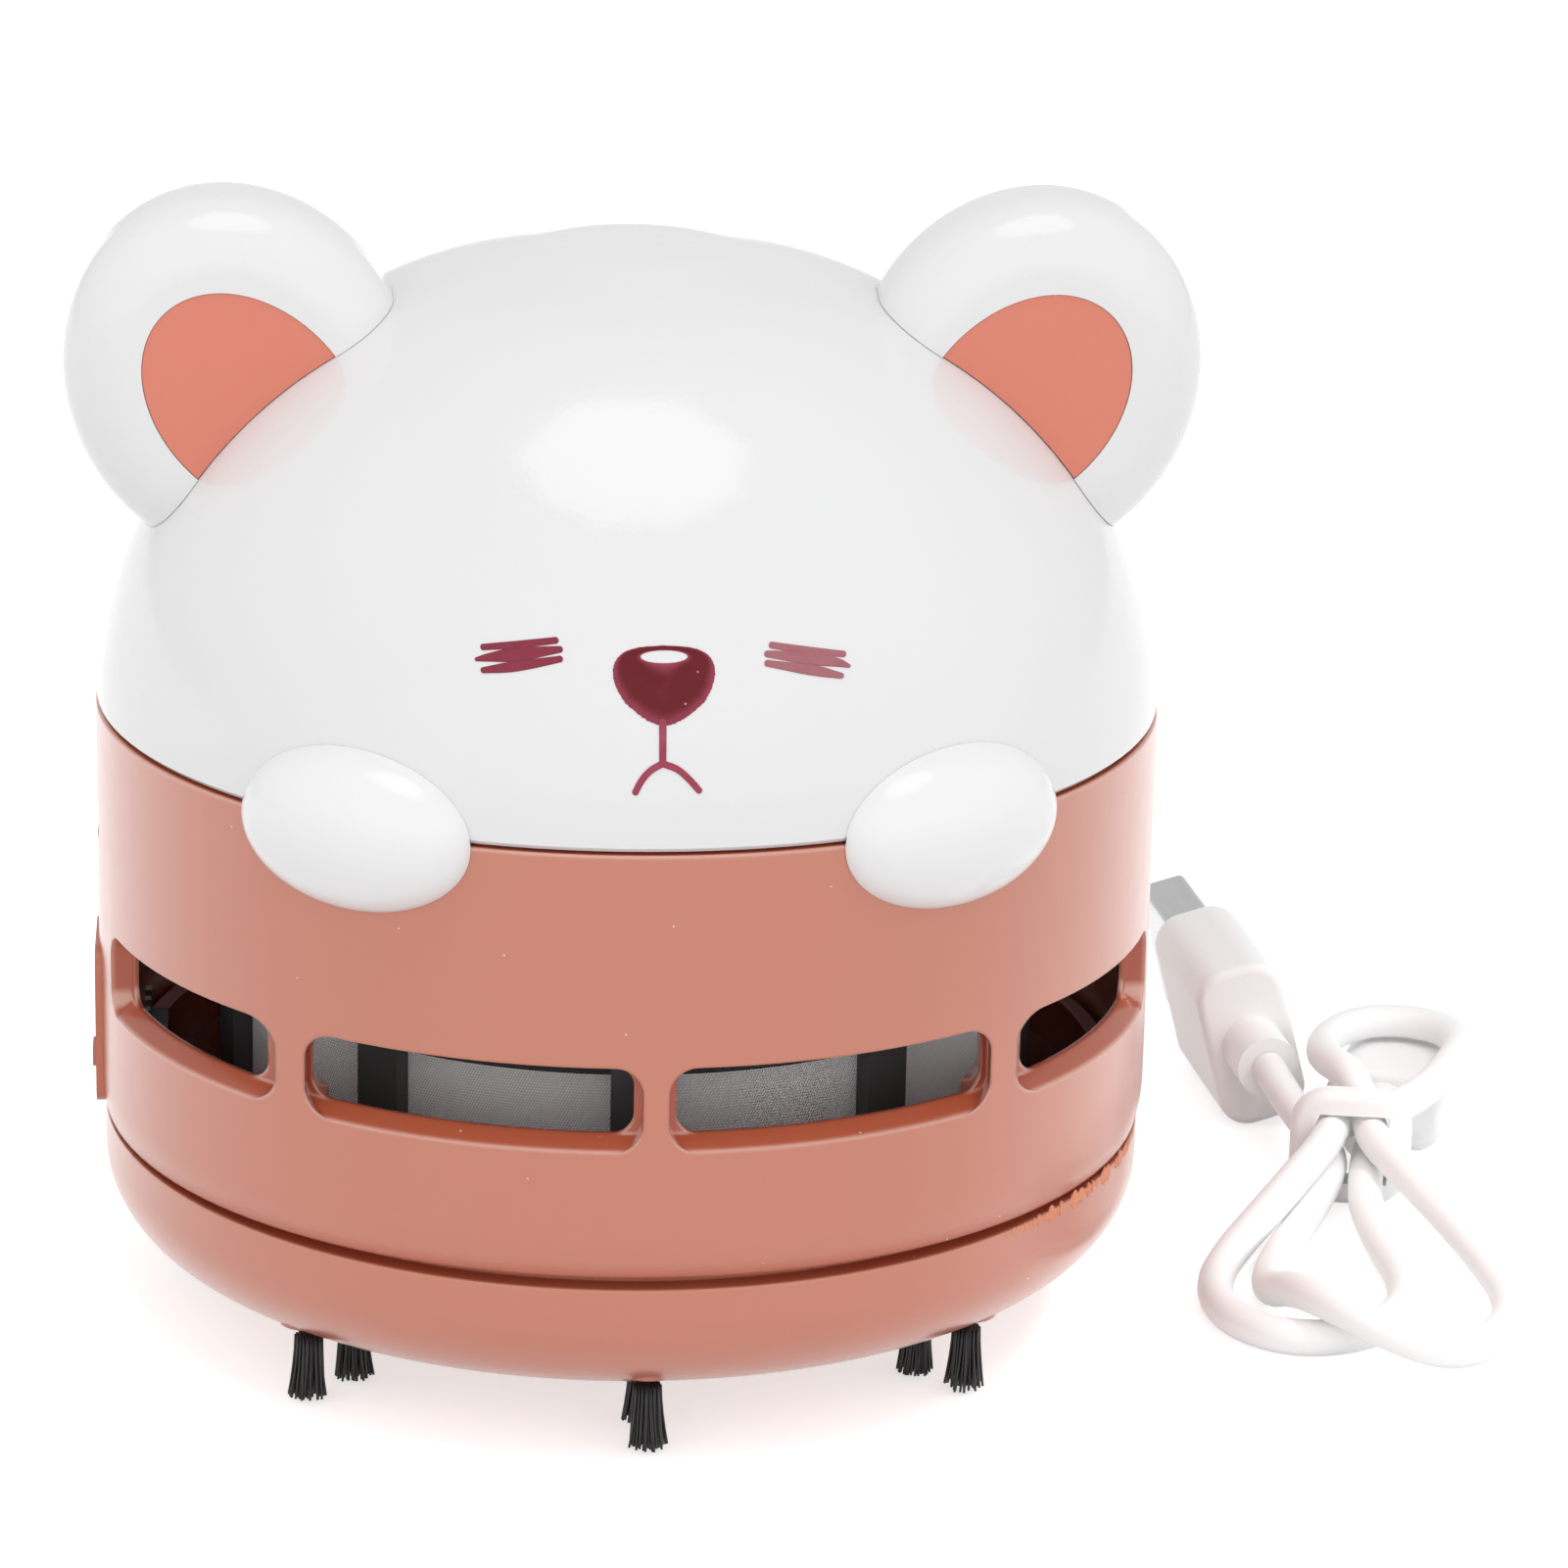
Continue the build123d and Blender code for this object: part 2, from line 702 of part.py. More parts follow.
def ear_inset_block(side, gap):
    """Elliptical plate in the front of an ear, shrunk by a gap all round."""
    plate = ear_disc(
        side,
        inset_half_width - gap,
        inset_half_length - gap,
        inset_turn,
        inset_depth,
        0,
        inset_shift,
    )
    return Pos(0, -(ear_depth - inset_depth) / 2, 0) * plate


def ear_inset(side):
    shape = ear_inset_block(side, fit_gap) - dome_solid(2 * fit_gap)
    front = -(ear_setback + ear_depth / 2)
    low = (-2 * housing_radius, front - 1, 0)
    high = (2 * housing_radius, front + 0.1, 4 * housing_radius)
    return shape - box_between(low, high)


# ---- Paws -----------------------------------------------------------------------------------------
def paw_peg(gap):
    """Round peg of a paw, at the front, through the housing wall."""
    start = bore_radius - peg_inner_reach
    peg = extrude(Plane.XZ * Circle(peg_radius + gap), housing_radius + peg_outer_reach - start)
    return Pos(0, -start, rim_z - peg_drop) * peg


def paw(side):
    """Egg-shaped paw that hangs over the rim, hollowed by the housing and the dome behind it."""
    egg = scale(Sphere(1), (paw_half_width, paw_half_depth, paw_half_height))
    egg = Rot(0, side * -paw_tilt, 0) * egg
    egg = Pos(0, -(housing_radius - paw_centre_inset), rim_z - paw_drop) * egg
    wall = rod(housing_radius + fit_gap, housing_base_z, dome_base_z + 0.5)
    shape = turned(side * paw_azimuth) * egg
    shape = shape - wall - dome_solid(fit_gap)
    peg = turned(side * paw_azimuth) * (paw_peg(0) - rod(bore_radius + 0.1, 0, rim_z))
    return shape + peg


# ---- Motor, its carrier and the impeller ------------------------------------------------------------
def motor_section(gap):
    """Round can with two flats."""
    return Circle(motor_radius + gap) & Rectangle(4 * motor_radius, motor_flat + 2 * gap)


def motor_carrier():
    """Plate that closes the dust chamber, with the motor's well, the cell's cradle and board posts."""
    shape = rod(bore_radius - slide_gap / 2, carrier_bottom_z, carrier_top_z)
    shape += rod(motor_radius + well_wall, well_bottom_z, carrier_top_z + well_rise)
    for i in range(6):
        rib = box_between(
            (-rib_width / 2, -(motor_radius + well_wall + 6), carrier_bottom_z - 4),
            (rib_width / 2, -motor_radius - 0.5, carrier_bottom_z + 0.3),
        )
        shape += turned(60 * i + 30) * rib
    cradle_y = cell_radius + cradle_wall
    for side in (-1, 1):
        x = side * cradle_spacing / 2
        shape += box_between(
            (x - cradle_width / 2, cell_y - cell_radius + 0.6, carrier_top_z - 0.3),
            (x + cradle_width / 2, cell_y + cradle_y, cell_z),
        )
    for x, y in board_posts():
        shape += Pos(x, y, 0) * rod(board_post_radius, carrier_top_z - 0.3, board_z - fit_gap)
    shape -= Pos(0, 0, motor_z) * extrude(motor_section(fit_gap), motor_length + well_rise)
    shape -= rod(motor_boss_radius + slide_gap, well_bottom_z - 1, motor_z + 1)
    shape -= cell_cylinder(fit_gap)
    for azimuth in screw_azimuths:
        hole = rod(screw_radius + slide_gap, carrier_bottom_z - 1, carrier_top_z + 1)
        shape -= turned(azimuth) * Pos(0, -screw_circle, 0) * hole
    wire_pass = rod(1.6, carrier_bottom_z - 1, carrier_top_z + 1)
    shape -= Pos(switch_front_x + switch_depth, 0, 0) * wire_pass
    return shape


def motor_can():
    shape = Pos(0, 0, motor_z) * extrude(motor_section(0), motor_length)
    shape += rod(motor_boss_radius, motor_z - motor_boss_length, motor_z)
    return shape - rod(shaft_radius + shaft_gap, motor_z - 5, motor_z + motor_length + 1)


def motor_end_cap():
    """Plastic cap that closes the can, with a bearing boss in the middle."""
    low = motor_z + motor_length + fit_gap / 2
    section = motor_section(-motor_cap_inset)
    shape = Pos(0, 0, low) * extrude(section, motor_cap_plate)
    shape += rod(motor_boss_radius, low, low + motor_cap_length)
    return shape - rod(shaft_radius + shaft_gap, low - 1, low + motor_cap_length + 1)


def motor_terminals():
    """Two upright solder lugs with a round eye each."""
    foot = motor_z + motor_length + motor_cap_plate + fit_gap
    eye_z = foot + 0.7 * terminal_size[2]
    lugs = []
    for side in (-1, 1):
        x = side * (motor_radius - terminal_inset)
        lug = Pos(x, 0, foot + terminal_size[2] / 2) * Box(*terminal_size)
        lugs.append(lug - Pos(x, 0, eye_z) * Rot(0, 90, 0) * Cylinder(terminal_hole_radius, 2))
    return Compound(children=lugs)


def motor_shaft():
    top = motor_z + motor_length + motor_cap_length + shaft_tail
    return rod(shaft_radius, backplate_top_z - blade_height, top)


def blade():
    """One blade, curved backwards from its root to its tip."""
    tip_radius = impeller_radius - 0.3
    middle = (blade_inner_radius + tip_radius) / 2
    root = Vector(0, -blade_inner_radius)
    tip = Vector(0, -tip_radius).rotate(Axis.Z, blade_lean)
    belly = Vector(0, -middle).rotate(Axis.Z, blade_lean * 0.36)
    line = ThreePointArc(root, belly, tip)
    flat = trace(line, blade_thickness)
    low = backplate_top_z - backplate_thickness - blade_height
    return Pos(0, 0, low) * extrude(flat, blade_height + 0.2)


def impeller():
    """Open centrifugal impeller: backplate above, blades and hub below."""
    plate_z = backplate_top_z - backplate_thickness
    low_z = plate_z - blade_height
    shape = rod(impeller_radius, plate_z, backplate_top_z)
    one = blade()
    under = spun(
        [
            (0, low_z - 1),
            (0, low_z),
            (blade_inner_radius, low_z),
            (impeller_radius + 1, low_z + blade_rise),
            (impeller_radius + 1, low_z - 1),
        ]
    )
    for i in range(blade_count):
        shape += turned(360 / blade_count * i) * one
    shape -= under
    shape += rod(hub_radius, low_z + hub_nose, plate_z)
    nose = Cone(hub_radius - 1.2, hub_radius, hub_nose)
    shape += Pos(0, 0, low_z + hub_nose / 2) * nose
    return shape - rod(shaft_radius + 0.02, low_z - 1, backplate_top_z + 1)


# ---- Cell and charging board ----------------------------------------------------------------------
def cell_cylinder(gap):
    bar = Cylinder(cell_radius + gap, cell_length + 2 * gap)
    return Pos(0, cell_y, cell_z) * Rot(0, 90, 0) * bar


def cell():
    button = Cylinder(cell_button_radius, cell_button_height)
    x = (cell_length + cell_button_height) / 2
    return cell_cylinder(0) + Pos(x, cell_y, cell_z) * Rot(0, 90, 0) * button


def board_posts():
    outer_x = -(bore_radius - ledge_width - board_post_radius - 2.0)
    inner_x = board_edge_x() + board_length - 2.4
    ys = (-(board_width / 2 - 2.2), board_width / 2 - 2.2)
    return [(x, y) for x in (outer_x, inner_x) for y in ys]


def board_edge_x():
    """Outer edge of the board, just inside the bore at the board's corners."""
    return -((bore_radius**2 - (board_width / 2) ** 2) ** 0.5) + slide_gap


def charging_board():
    low = (board_edge_x(), -board_width / 2, board_z)
    high = (board_edge_x() + board_length, board_width / 2, board_z + board_thickness)
    return box_between(low, high)


def charging_port():
    """Folded metal shell of the socket with its open mouth facing out."""
    mouth_x = -(bore_radius - slide_gap)
    low_z = board_z + board_thickness + fit_gap
    shell = box_between(
        (mouth_x, -port_width / 2, low_z), (mouth_x + port_depth, port_width / 2, low_z + port_height)
    )
    cavity = box_between(
        (mouth_x - 1, -port_width / 2 + port_wall, low_z + port_wall),
        (mouth_x + port_depth - 0.8, port_width / 2 - port_wall, low_z + port_height - port_wall),
    )
    return shell - cavity


def board_parts():
    """Charger chip, inductor, capacitor and indicator lamp."""
    top = board_z + board_thickness + fit_gap / 2
    x = board_edge_x() + chip_row
    side = board_width / 2 - 1.2 * inductor_radius
    lamp_x = board_edge_x() + 2 * lamp_size[0]
    chips = [
        Pos(x, 0, top + chip_size[2] / 2) * Box(*chip_size),
        Pos(x, side, top + inductor_height / 2) * Cylinder(inductor_radius, inductor_height),
        Pos(x, -side, top + capacitor_size[2] / 2) * Box(*capacitor_size),
        Pos(lamp_x, side, top + lamp_size[2] / 2) * Box(*lamp_size),
    ]
    return Compound(children=chips)


# ---- Screws ------------------------------------------------------------------------------------------
def case_screws():
    """Three screws from below, through the motor carrier into the dome's posts."""
    head_top = carrier_bottom_z - fit_gap / 2
    head = rod(screw_head_radius, head_top - screw_head_height, head_top)
    head = fillet(head.edges().group_by(Axis.Z)[0], screw_head_edge)
    shank = rod(screw_radius - shaft_gap / 2, head_top, carrier_top_z + screw_length - slide_gap)
    slot = Box(*screw_cross)
    cross = slot + Rot(0, 0, 90) * slot
    one = head + shank - Pos(0, 0, head_top - screw_head_height) * cross
    screws = [turned(a) * Pos(0, -screw_circle, 0) * one for a in screw_azimuths]
    return Compound(children=screws)


# ---- Charging cable, tied in a hank, flat on the desk ---------------------------------------------
def on_desk(shape):
    """Carry a piece from the cable's own frame, tie at the origin, to its place on the desk."""
    return Pos(cable_place[0], cable_place[1], 0) * Rot(0, 0, cable_turn) * shape


def hull_of(circles):
    """Outline stretched tightly round a few circles."""
    edges = []
    for x, y, radius in circles:
        edges += (Pos(x, y) * Circle(radius)).edges()
    return make_hull(edges)


def cable_loops():
    """Outer shape of the two big loops, from the tie down to the desk."""
    outline = hull_of([loop_a, loop_b, (0, -neck_half_width, neck_half_width)])
    far = loop_b[2] - loop_b[1]
    drop = lower_z - cable_radius
    tilt = degrees(atan2(drop, far))
    slab = extrude(outline, loop_thickness - fit_gap)
    slab = Pos(0, 0, drop) * Rot(tilt, 0, 0) * slab
    neck = box_between(
        (-neck_half_width + fit_gap, -neck_half_width, drop),
        (neck_half_width - fit_gap, neck_length, drop + loop_thickness),
    )
    shape = slab + neck
    lowest = shape.bounding_box().min.Z
    return Pos(0, 0, -lowest) * shape if lowest < 0 else shape


def cable_top_loop():
    """Outer shape of the small loop that lies over the micro plug."""
    across, along, radius = top_loop
    crossing = (cable_radius, neck_length + cable_radius, cable_radius)
    outline = hull_of([top_loop, crossing])
    base_z = micro_grip[1] + fit_gap
    tall = 2 * cable_radius + 0.1
    start = upper_z - cable_radius
    side = Polyline(
        (neck_length, start),
        (along - radius + 1.0, base_z),
        (along + radius + 1, base_z),
        (along + radius + 1, base_z + tall),
        (along - radius, base_z + tall + cable_radius),
        (neck_length, start + tall),
        close=True,
    )
    profile = extrude(Plane.YZ * make_face(side), 2 * radius + across, both=True)
    return extrude(outline, 30) & profile


def tube(points, radius):
    """Cable along straight runs joined by arcs; prints its bend radii and its length."""
    corners = [Vector(*p) for p in points]
    radii = []
    for a, b, c in zip(corners, corners[1:], corners[2:]):
        turn = (b - a).get_angle(c - b)
        shorter = min((b - a).length, (c - b).length)
        radii.append(0.45 * shorter / tan(radians(turn) / 2))
    path = FilletPolyline(*corners, radius=radii) if radii else Line(*corners)
    start = Plane(path @ 0, z_dir=path % 0)
    shape = sweep(start * Circle(radius), path)
    print("cable radii", [round(r, 1) for r in radii], "volume ratio",
          round(shape.volume / (pi * radius**2 * path.length), 4))
    return shape


def plug_frame(end, lean, z, roll=0.0):
    """Frame of a plug: origin where the cable leaves, +Z along the plug away from the cable."""
    along = Vector(-sin(radians(lean)), cos(radians(lean)), 0)
    across = along.cross(Vector(0, 0, 1)).rotate(Axis((0, 0, 0), along), roll)
    return Plane(origin=(end[0], end[1], z), x_dir=across, z_dir=along)


def grip(frame, size):
    """Moulded grip with rounded corners and the round strain relief behind it."""
    width, thick, length = size
    block = extrude(RectangleRounded(width, thick, thick * grip_round), length)
    rims = block.edges().group_by(Axis.Z)
    block = fillet(rims[0] + rims[-1], grip_edge)
    relief = extrude(Circle(relief_radius), relief_length + 1)
    return frame * (Pos(0, 0, relief_length) * block + relief)


def metal_shell(frame, size, grip_length, corner):
    """Folded metal shell, open at the front."""
    width, thick, length = size
    low = relief_length + grip_length + fit_gap
    skin = extrude(RectangleRounded(width, thick, corner), length)
    inner = RectangleRounded(width - 2 * metal_wall, thick - 2 * metal_wall, corner / 2)
    skin -= Pos(0, 0, metal_floor) * extrude(inner, length)
    return frame * Pos(0, 0, low) * skin


usb_a_frame = plug_frame(usb_a_end, usb_a_lean, usb_a_axis_z, usb_a_roll)
micro_frame = plug_frame(micro_end, micro_lean, micro_grip[1] / 2)


def latch_holes(frame, size, grip_length, hole, place):
    """Two rectangular holes through both wide sides of a metal shell."""
    z = relief_length + grip_length + size[2] - place[1]
    block = Box(hole[0], size[1] + 2, hole[1])
    return [frame * Pos(side * place[0], 0, z) * block for side in (-1, 1)]


def usb_a_metal():
    shape = metal_shell(usb_a_frame, usb_a_shell, usb_a_grip[2], 2 * metal_wall)
    return shape - latch_holes(
        usb_a_frame, usb_a_shell, usb_a_grip[2], usb_a_hole, usb_a_hole_place
    )


def micro_metal():
    shape = metal_shell(micro_frame, micro_shell, micro_grip[2], 1.5 * metal_wall)
    return shape - latch_holes(
        micro_frame, micro_shell, micro_grip[2], micro_hole, micro_hole_place
    )


def usb_a_tongue():
    """White contact carrier in the lower half of the shell."""
    width = usb_a_shell[0] - 2 * metal_wall - 6 * fit_gap
    low = relief_length + usb_a_grip[2] + metal_floor + 2 * fit_gap
    thick = usb_a_tongue_thickness
    length = usb_a_shell[2] - usb_a_tongue_setback
    y = usb_a_shell[1] / 2 - metal_wall - 3 * fit_gap - thick / 2
    return usb_a_frame * Pos(0, y, low + length / 2) * Box(width, thick, length)


def cable_lead_a():
    """Short free run from the USB-A plug to the tie."""
    x, y = usb_a_end
    lean = radians(usb_a_lean)
    return tube(
        [
            (x, y, usb_a_axis_z),
            (x + 4.4 * sin(lean), y - 4.4 * cos(lean), usb_a_axis_z - 0.6),
            (-1.7, neck_length, lower_z),
        ],
        cable_radius,
    )


def cable_lead_micro():
    """Short straight run from the micro plug to the tie."""
    x, y = micro_end
    return tube([(x, y, micro_grip[1] / 2), (1.65, neck_length, lower_z)], cable_radius)


def cable_tie():
    """Soft ring round the four strands."""
    inner_width = 2 * neck_half_width + 2 * fit_gap
    inner_height = loop_thickness + 4 * fit_gap
    outer = RectangleRounded(inner_width + 2 * tie_wall, inner_height + 2 * tie_wall, 3.4)
    hole = Rectangle(inner_width, inner_height)
    band = extrude(Plane.XZ * (outer - hole), tie_width / 2, both=True)
    outside = band.edges().filter_by(lambda e: abs(e.center().Y) > tie_width / 2 - 0.01)
    wide = [e for e in outside if abs(e.center().X) > inner_width / 2 + 1
            or abs(e.center().Z) > inner_height / 2 + 1]
    band = fillet(wide, 0.8)
    return Pos(0, 0, tie_wall + inner_height / 2) * band


# ---- Write every node ----------------------------------------------------------------------------------
parts = {
    "bottom_cover": bottom_cover,
    "brush_tufts": brush_tufts,
    "filter_cage": filter_cage,
    "filter_mesh": filter_mesh,
    "filter_seal": filter_seal,
    "housing": housing,
    "side_panel": side_panel,
    "switch_body": switch_body,
    "switch_pins": switch_pins,
    "switch_knob": switch_knob,
    "top_cover": top_cover,
    "ear_left": lambda: ear(-1),
    "ear_right": lambda: ear(1),
    "ear_inset_left": lambda: ear_inset(-1),
    "ear_inset_right": lambda: ear_inset(1),
    "paw_left": lambda: paw(-1),
    "paw_right": lambda: paw(1),
    "motor_carrier": motor_carrier,
    "motor_can": motor_can,
    "motor_end_cap": motor_end_cap,
    "motor_terminals": motor_terminals,
    "motor_shaft": motor_shaft,
    "impeller": impeller,
    "lithium_cell": cell,
    "charging_board": charging_board,
    "charging_port": charging_port,
    "board_parts": board_parts,
    "case_screws": case_screws,
    "cable_loops": lambda: on_desk(cable_loops()),
    "cable_top_loop": lambda: on_desk(cable_top_loop()),
    "cable_lead_a": lambda: on_desk(cable_lead_a()),
    "cable_lead_micro": lambda: on_desk(cable_lead_micro()),
    "cable_tie": lambda: on_desk(cable_tie()),
    "usb_a_grip": lambda: on_desk(grip(usb_a_frame, usb_a_grip)),
    "usb_a_metal": lambda: on_desk(usb_a_metal()),
    "usb_a_tongue": lambda: on_desk(usb_a_tongue()),
    "micro_grip": lambda: on_desk(grip(micro_frame, micro_grip)),
    "micro_metal": lambda: on_desk(micro_metal()),
}
for node, build in parts.items():
    save(node, build())
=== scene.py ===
"""Looks of a round desktop vacuum cleaner with a bear's head for a lid, and of its tied cable."""
from math import cos, pi, radians, sin

import bpy
import numpy as np
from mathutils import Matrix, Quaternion, Vector


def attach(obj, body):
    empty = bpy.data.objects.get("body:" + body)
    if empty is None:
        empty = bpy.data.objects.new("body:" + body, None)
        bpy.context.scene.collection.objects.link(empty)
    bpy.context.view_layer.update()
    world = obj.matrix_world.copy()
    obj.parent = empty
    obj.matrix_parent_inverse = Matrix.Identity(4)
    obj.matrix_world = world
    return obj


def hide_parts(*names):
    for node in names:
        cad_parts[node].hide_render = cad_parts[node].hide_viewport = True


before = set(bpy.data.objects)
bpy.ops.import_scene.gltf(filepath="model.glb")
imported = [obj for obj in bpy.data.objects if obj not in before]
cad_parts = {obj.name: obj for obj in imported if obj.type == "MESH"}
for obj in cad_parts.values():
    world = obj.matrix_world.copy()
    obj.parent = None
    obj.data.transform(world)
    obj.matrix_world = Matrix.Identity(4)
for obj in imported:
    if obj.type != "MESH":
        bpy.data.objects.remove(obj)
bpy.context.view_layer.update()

# ---- Desk, light and camera ----------------------------------------------------------------
# A wide pale desk in a white tent that is dimmer overhead, under one octagonal softbox, with a
# small lamp over the cable. The camera stands a little left of the bear's nose and looks down
# on it through a long lens.
mm = 0.001
view_azimuth = radians(-5.0)
view_elevation = radians(17.61)
view_roll = radians(1.24)
view_distance = 0.5
view_target = Vector((0.01280, -0.00112, 0.04299))
view_lens = 140.54


def added(name, data):
    """New object of the scene for a mesh, a curve, a lamp or a camera's lens."""
    thing = bpy.data.objects.new(name, data)
    bpy.context.scene.collection.objects.link(thing)
    return thing


back = Vector(
    (
        sin(view_azimuth) * cos(view_elevation),
        -cos(view_azimuth) * cos(view_elevation),
        sin(view_elevation),
    )
)
lens = bpy.data.cameras.new("camera")
lens.sensor_width = 36.0
lens.lens = view_lens
lens.clip_start = 0.01
lens.clip_end = 50.0
camera = added("camera", lens)
camera.rotation_mode = "QUATERNION"
camera.location = view_target + back * view_distance
camera.rotation_quaternion = (-back).to_track_quat("-Z", "Y") @ Quaternion((0, 0, 1), view_roll)
bpy.context.scene.camera = camera
bpy.context.scene.view_settings.view_transform = "Standard"


def new_material(name):
    """New material, its emptied node tree, and the tree's output node."""
    material = bpy.data.materials.new(name)
    material.use_nodes = True
    tree = material.node_tree
    tree.nodes.clear()
    return material, tree, tree.nodes.new("ShaderNodeOutputMaterial")


def feed(tree, value, socket):
    """Links another node's output to an input, or gives the input a number or a colour."""
    if isinstance(value, bpy.types.NodeSocket):
        tree.links.new(value, socket)
    else:
        socket.default_value = value


def maths(tree, operation, *values):
    """Result of one math node on numbers or other nodes' outputs."""
    made = tree.nodes.new("ShaderNodeMath")
    made.operation = operation
    for value, socket in zip(values, made.inputs):
        feed(tree, value, socket)
    return made.outputs["Value"]


def ramp(tree, value, start, end, low, high):
    """Carries a value in the span start to end over to low to high, and holds it outside."""
    made = tree.nodes.new("ShaderNodeMapRange")
    labels = ("Value", "From Min", "From Max", "To Min", "To Max")
    for label, given in zip(labels, (value, start, end, low, high)):
        feed(tree, given, made.inputs[label])
    return made.outputs["Result"]


softbox_radius = 0.29
softbox_level = 2.3
softbox_place = (0.0, -0.155, 0.85)
softbox_tilt = radians(-11.0)
corner = np.radians(22.5 + 45.0 * np.arange(8))
softbox_mesh = bpy.data.meshes.new("overhead_softbox")
softbox_mesh.from_pydata(
    np.c_[np.cos(corner), np.sin(corner), np.zeros(8)] * softbox_radius, [], [range(7, -1, -1)]
)
softbox = added("overhead_softbox", softbox_mesh)
softbox.location = softbox_place
softbox.rotation_euler = (softbox_tilt, 0.0, 0.0)
softbox.visible_camera = False
softbox_cloth, tree, out = new_material("softbox_cloth")
glow = tree.nodes.new("ShaderNodeEmission")
glow.inputs["Strength"].default_value = softbox_level
tree.links.new(glow.outputs["Emission"], out.inputs["Surface"])
softbox_mesh.materials.append(softbox_cloth)

cable_lamp_place = Vector((0.170, -0.050, 0.22))
cable_lamp_target = Vector((0.072, -0.005, 0.0))
disk = bpy.data.lights.new("cable_lamp", "AREA")
disk.shape = "DISK"
disk.size = 0.03
disk.energy = 0.0050
disk.spread = radians(26)
cable_lamp = added("cable_lamp", disk)
cable_lamp.location = cable_lamp_place
cable_lamp_aim = cable_lamp_target - cable_lamp_place
cable_lamp.rotation_euler = cable_lamp_aim.to_track_quat("-Z", "Y").to_euler()
cable_lamp.visible_camera = False

# The tent: brightest in front, paler to the right than to the left, dimmer behind and straight
# above. What the camera sees past the desk is plain white.
front_level = 1.30
left_level = 1.02
right_level = 1.16
back_level = 0.72
top_level = 0.58
back_span = (-0.8, 0.0)
top_span = (0.25, 0.95)
world = bpy.data.worlds.new("tent")
bpy.context.scene.world = world
world.use_nodes = True
sky = world.node_tree
sky.nodes.clear()
sky_out = sky.nodes.new("ShaderNodeOutputWorld")
toward = sky.nodes.new("ShaderNodeTexCoord")
facing = sky.nodes.new("ShaderNodeVectorMath")
facing.operation = "DOT_PRODUCT"
facing.inputs[1].default_value = (sin(view_azimuth), -cos(view_azimuth), 0.0)
rising = sky.nodes.new("ShaderNodeSeparateXYZ")
sky.links.new(toward.outputs["Generated"], facing.inputs[0])
sky.links.new(toward.outputs["Generated"], rising.inputs["Vector"])
level = ramp(sky, facing.outputs["Value"], 0.0, 1.0, 1.0, front_level)
for share in (
    ramp(sky, facing.outputs["Value"], *back_span, back_level, 1.0),
    ramp(sky, rising.outputs["X"], -1.0, 1.0, left_level, right_level),
    ramp(sky, rising.outputs["Z"], *top_span, 1.0, top_level),
):
    level = maths(sky, "MULTIPLY", level, share)
tent = sky.nodes.new("ShaderNodeBackground")
tent.inputs["Color"].default_value = (1, 1, 1, 1)
white_wall = sky.nodes.new("ShaderNodeBackground")
white_wall.inputs["Color"].default_value = (1, 1, 1, 1)
white_wall.inputs["Strength"].default_value = 1.0
seen = sky.nodes.new("ShaderNodeLightPath")
choose = sky.nodes.new("ShaderNodeMixShader")
sky.links.new(level, tent.inputs["Strength"])
sky.links.new(seen.outputs["Is Camera Ray"], choose.inputs["Fac"])
sky.links.new(tent.outputs["Background"], choose.inputs[1])
sky.links.new(white_wall.outputs["Background"], choose.inputs[2])
sky.links.new(choose.outputs["Shader"], sky_out.inputs["Surface"])

# The desk glows a little for the camera and in what gloss mirrors of it, there more behind the
# object than in front.
desk_half = 3.0
desk_colour = (0.78, 0.78, 0.78, 1)
desk_glow = 0.62
glow_ramp = (-0.06, 0.06)
mirrored_in_front = 0.75
desk_mesh = bpy.data.meshes.new("desk")
desk_mesh.from_pydata(
    [(x * desk_half, y * desk_half, 0.0) for x, y in ((-1, -1), (1, -1), (1, 1), (-1, 1))],
    [],
    [(0, 1, 2, 3)],
)
desk = added("desk", desk_mesh)
desk_white, tree, out = new_material("desk_white")
paint = tree.nodes.new("ShaderNodeBsdfDiffuse")
paint.inputs["Color"].default_value = desk_colour
glow = tree.nodes.new("ShaderNodeEmission")
glow.inputs["Color"].default_value = (1, 1, 1, 1)
glow.inputs["Strength"].default_value = desk_glow
both = tree.nodes.new("ShaderNodeAddShader")
lift = tree.nodes.new("ShaderNodeMixShader")
seen = tree.nodes.new("ShaderNodeLightPath")
spot = tree.nodes.new("ShaderNodeNewGeometry")
depth = tree.nodes.new("ShaderNodeSeparateXYZ")
tree.links.new(spot.outputs["Position"], depth.inputs["Vector"])
farther = ramp(tree, depth.outputs["Y"], *glow_ramp, mirrored_in_front, 1.0)
mirrored = maths(tree, "MULTIPLY", seen.outputs["Is Glossy Ray"], farther)
looked_at = maths(tree, "MAXIMUM", seen.outputs["Is Camera Ray"], mirrored)
tree.links.new(paint.outputs["BSDF"], both.inputs[0])
tree.links.new(glow.outputs["Emission"], both.inputs[1])
tree.links.new(looked_at, lift.inputs["Fac"])
tree.links.new(paint.outputs["BSDF"], lift.inputs[1])
tree.links.new(both.outputs["Shader"], lift.inputs[2])
tree.links.new(lift.outputs["Shader"], out.inputs["Surface"])
desk.data.materials.append(desk_white)

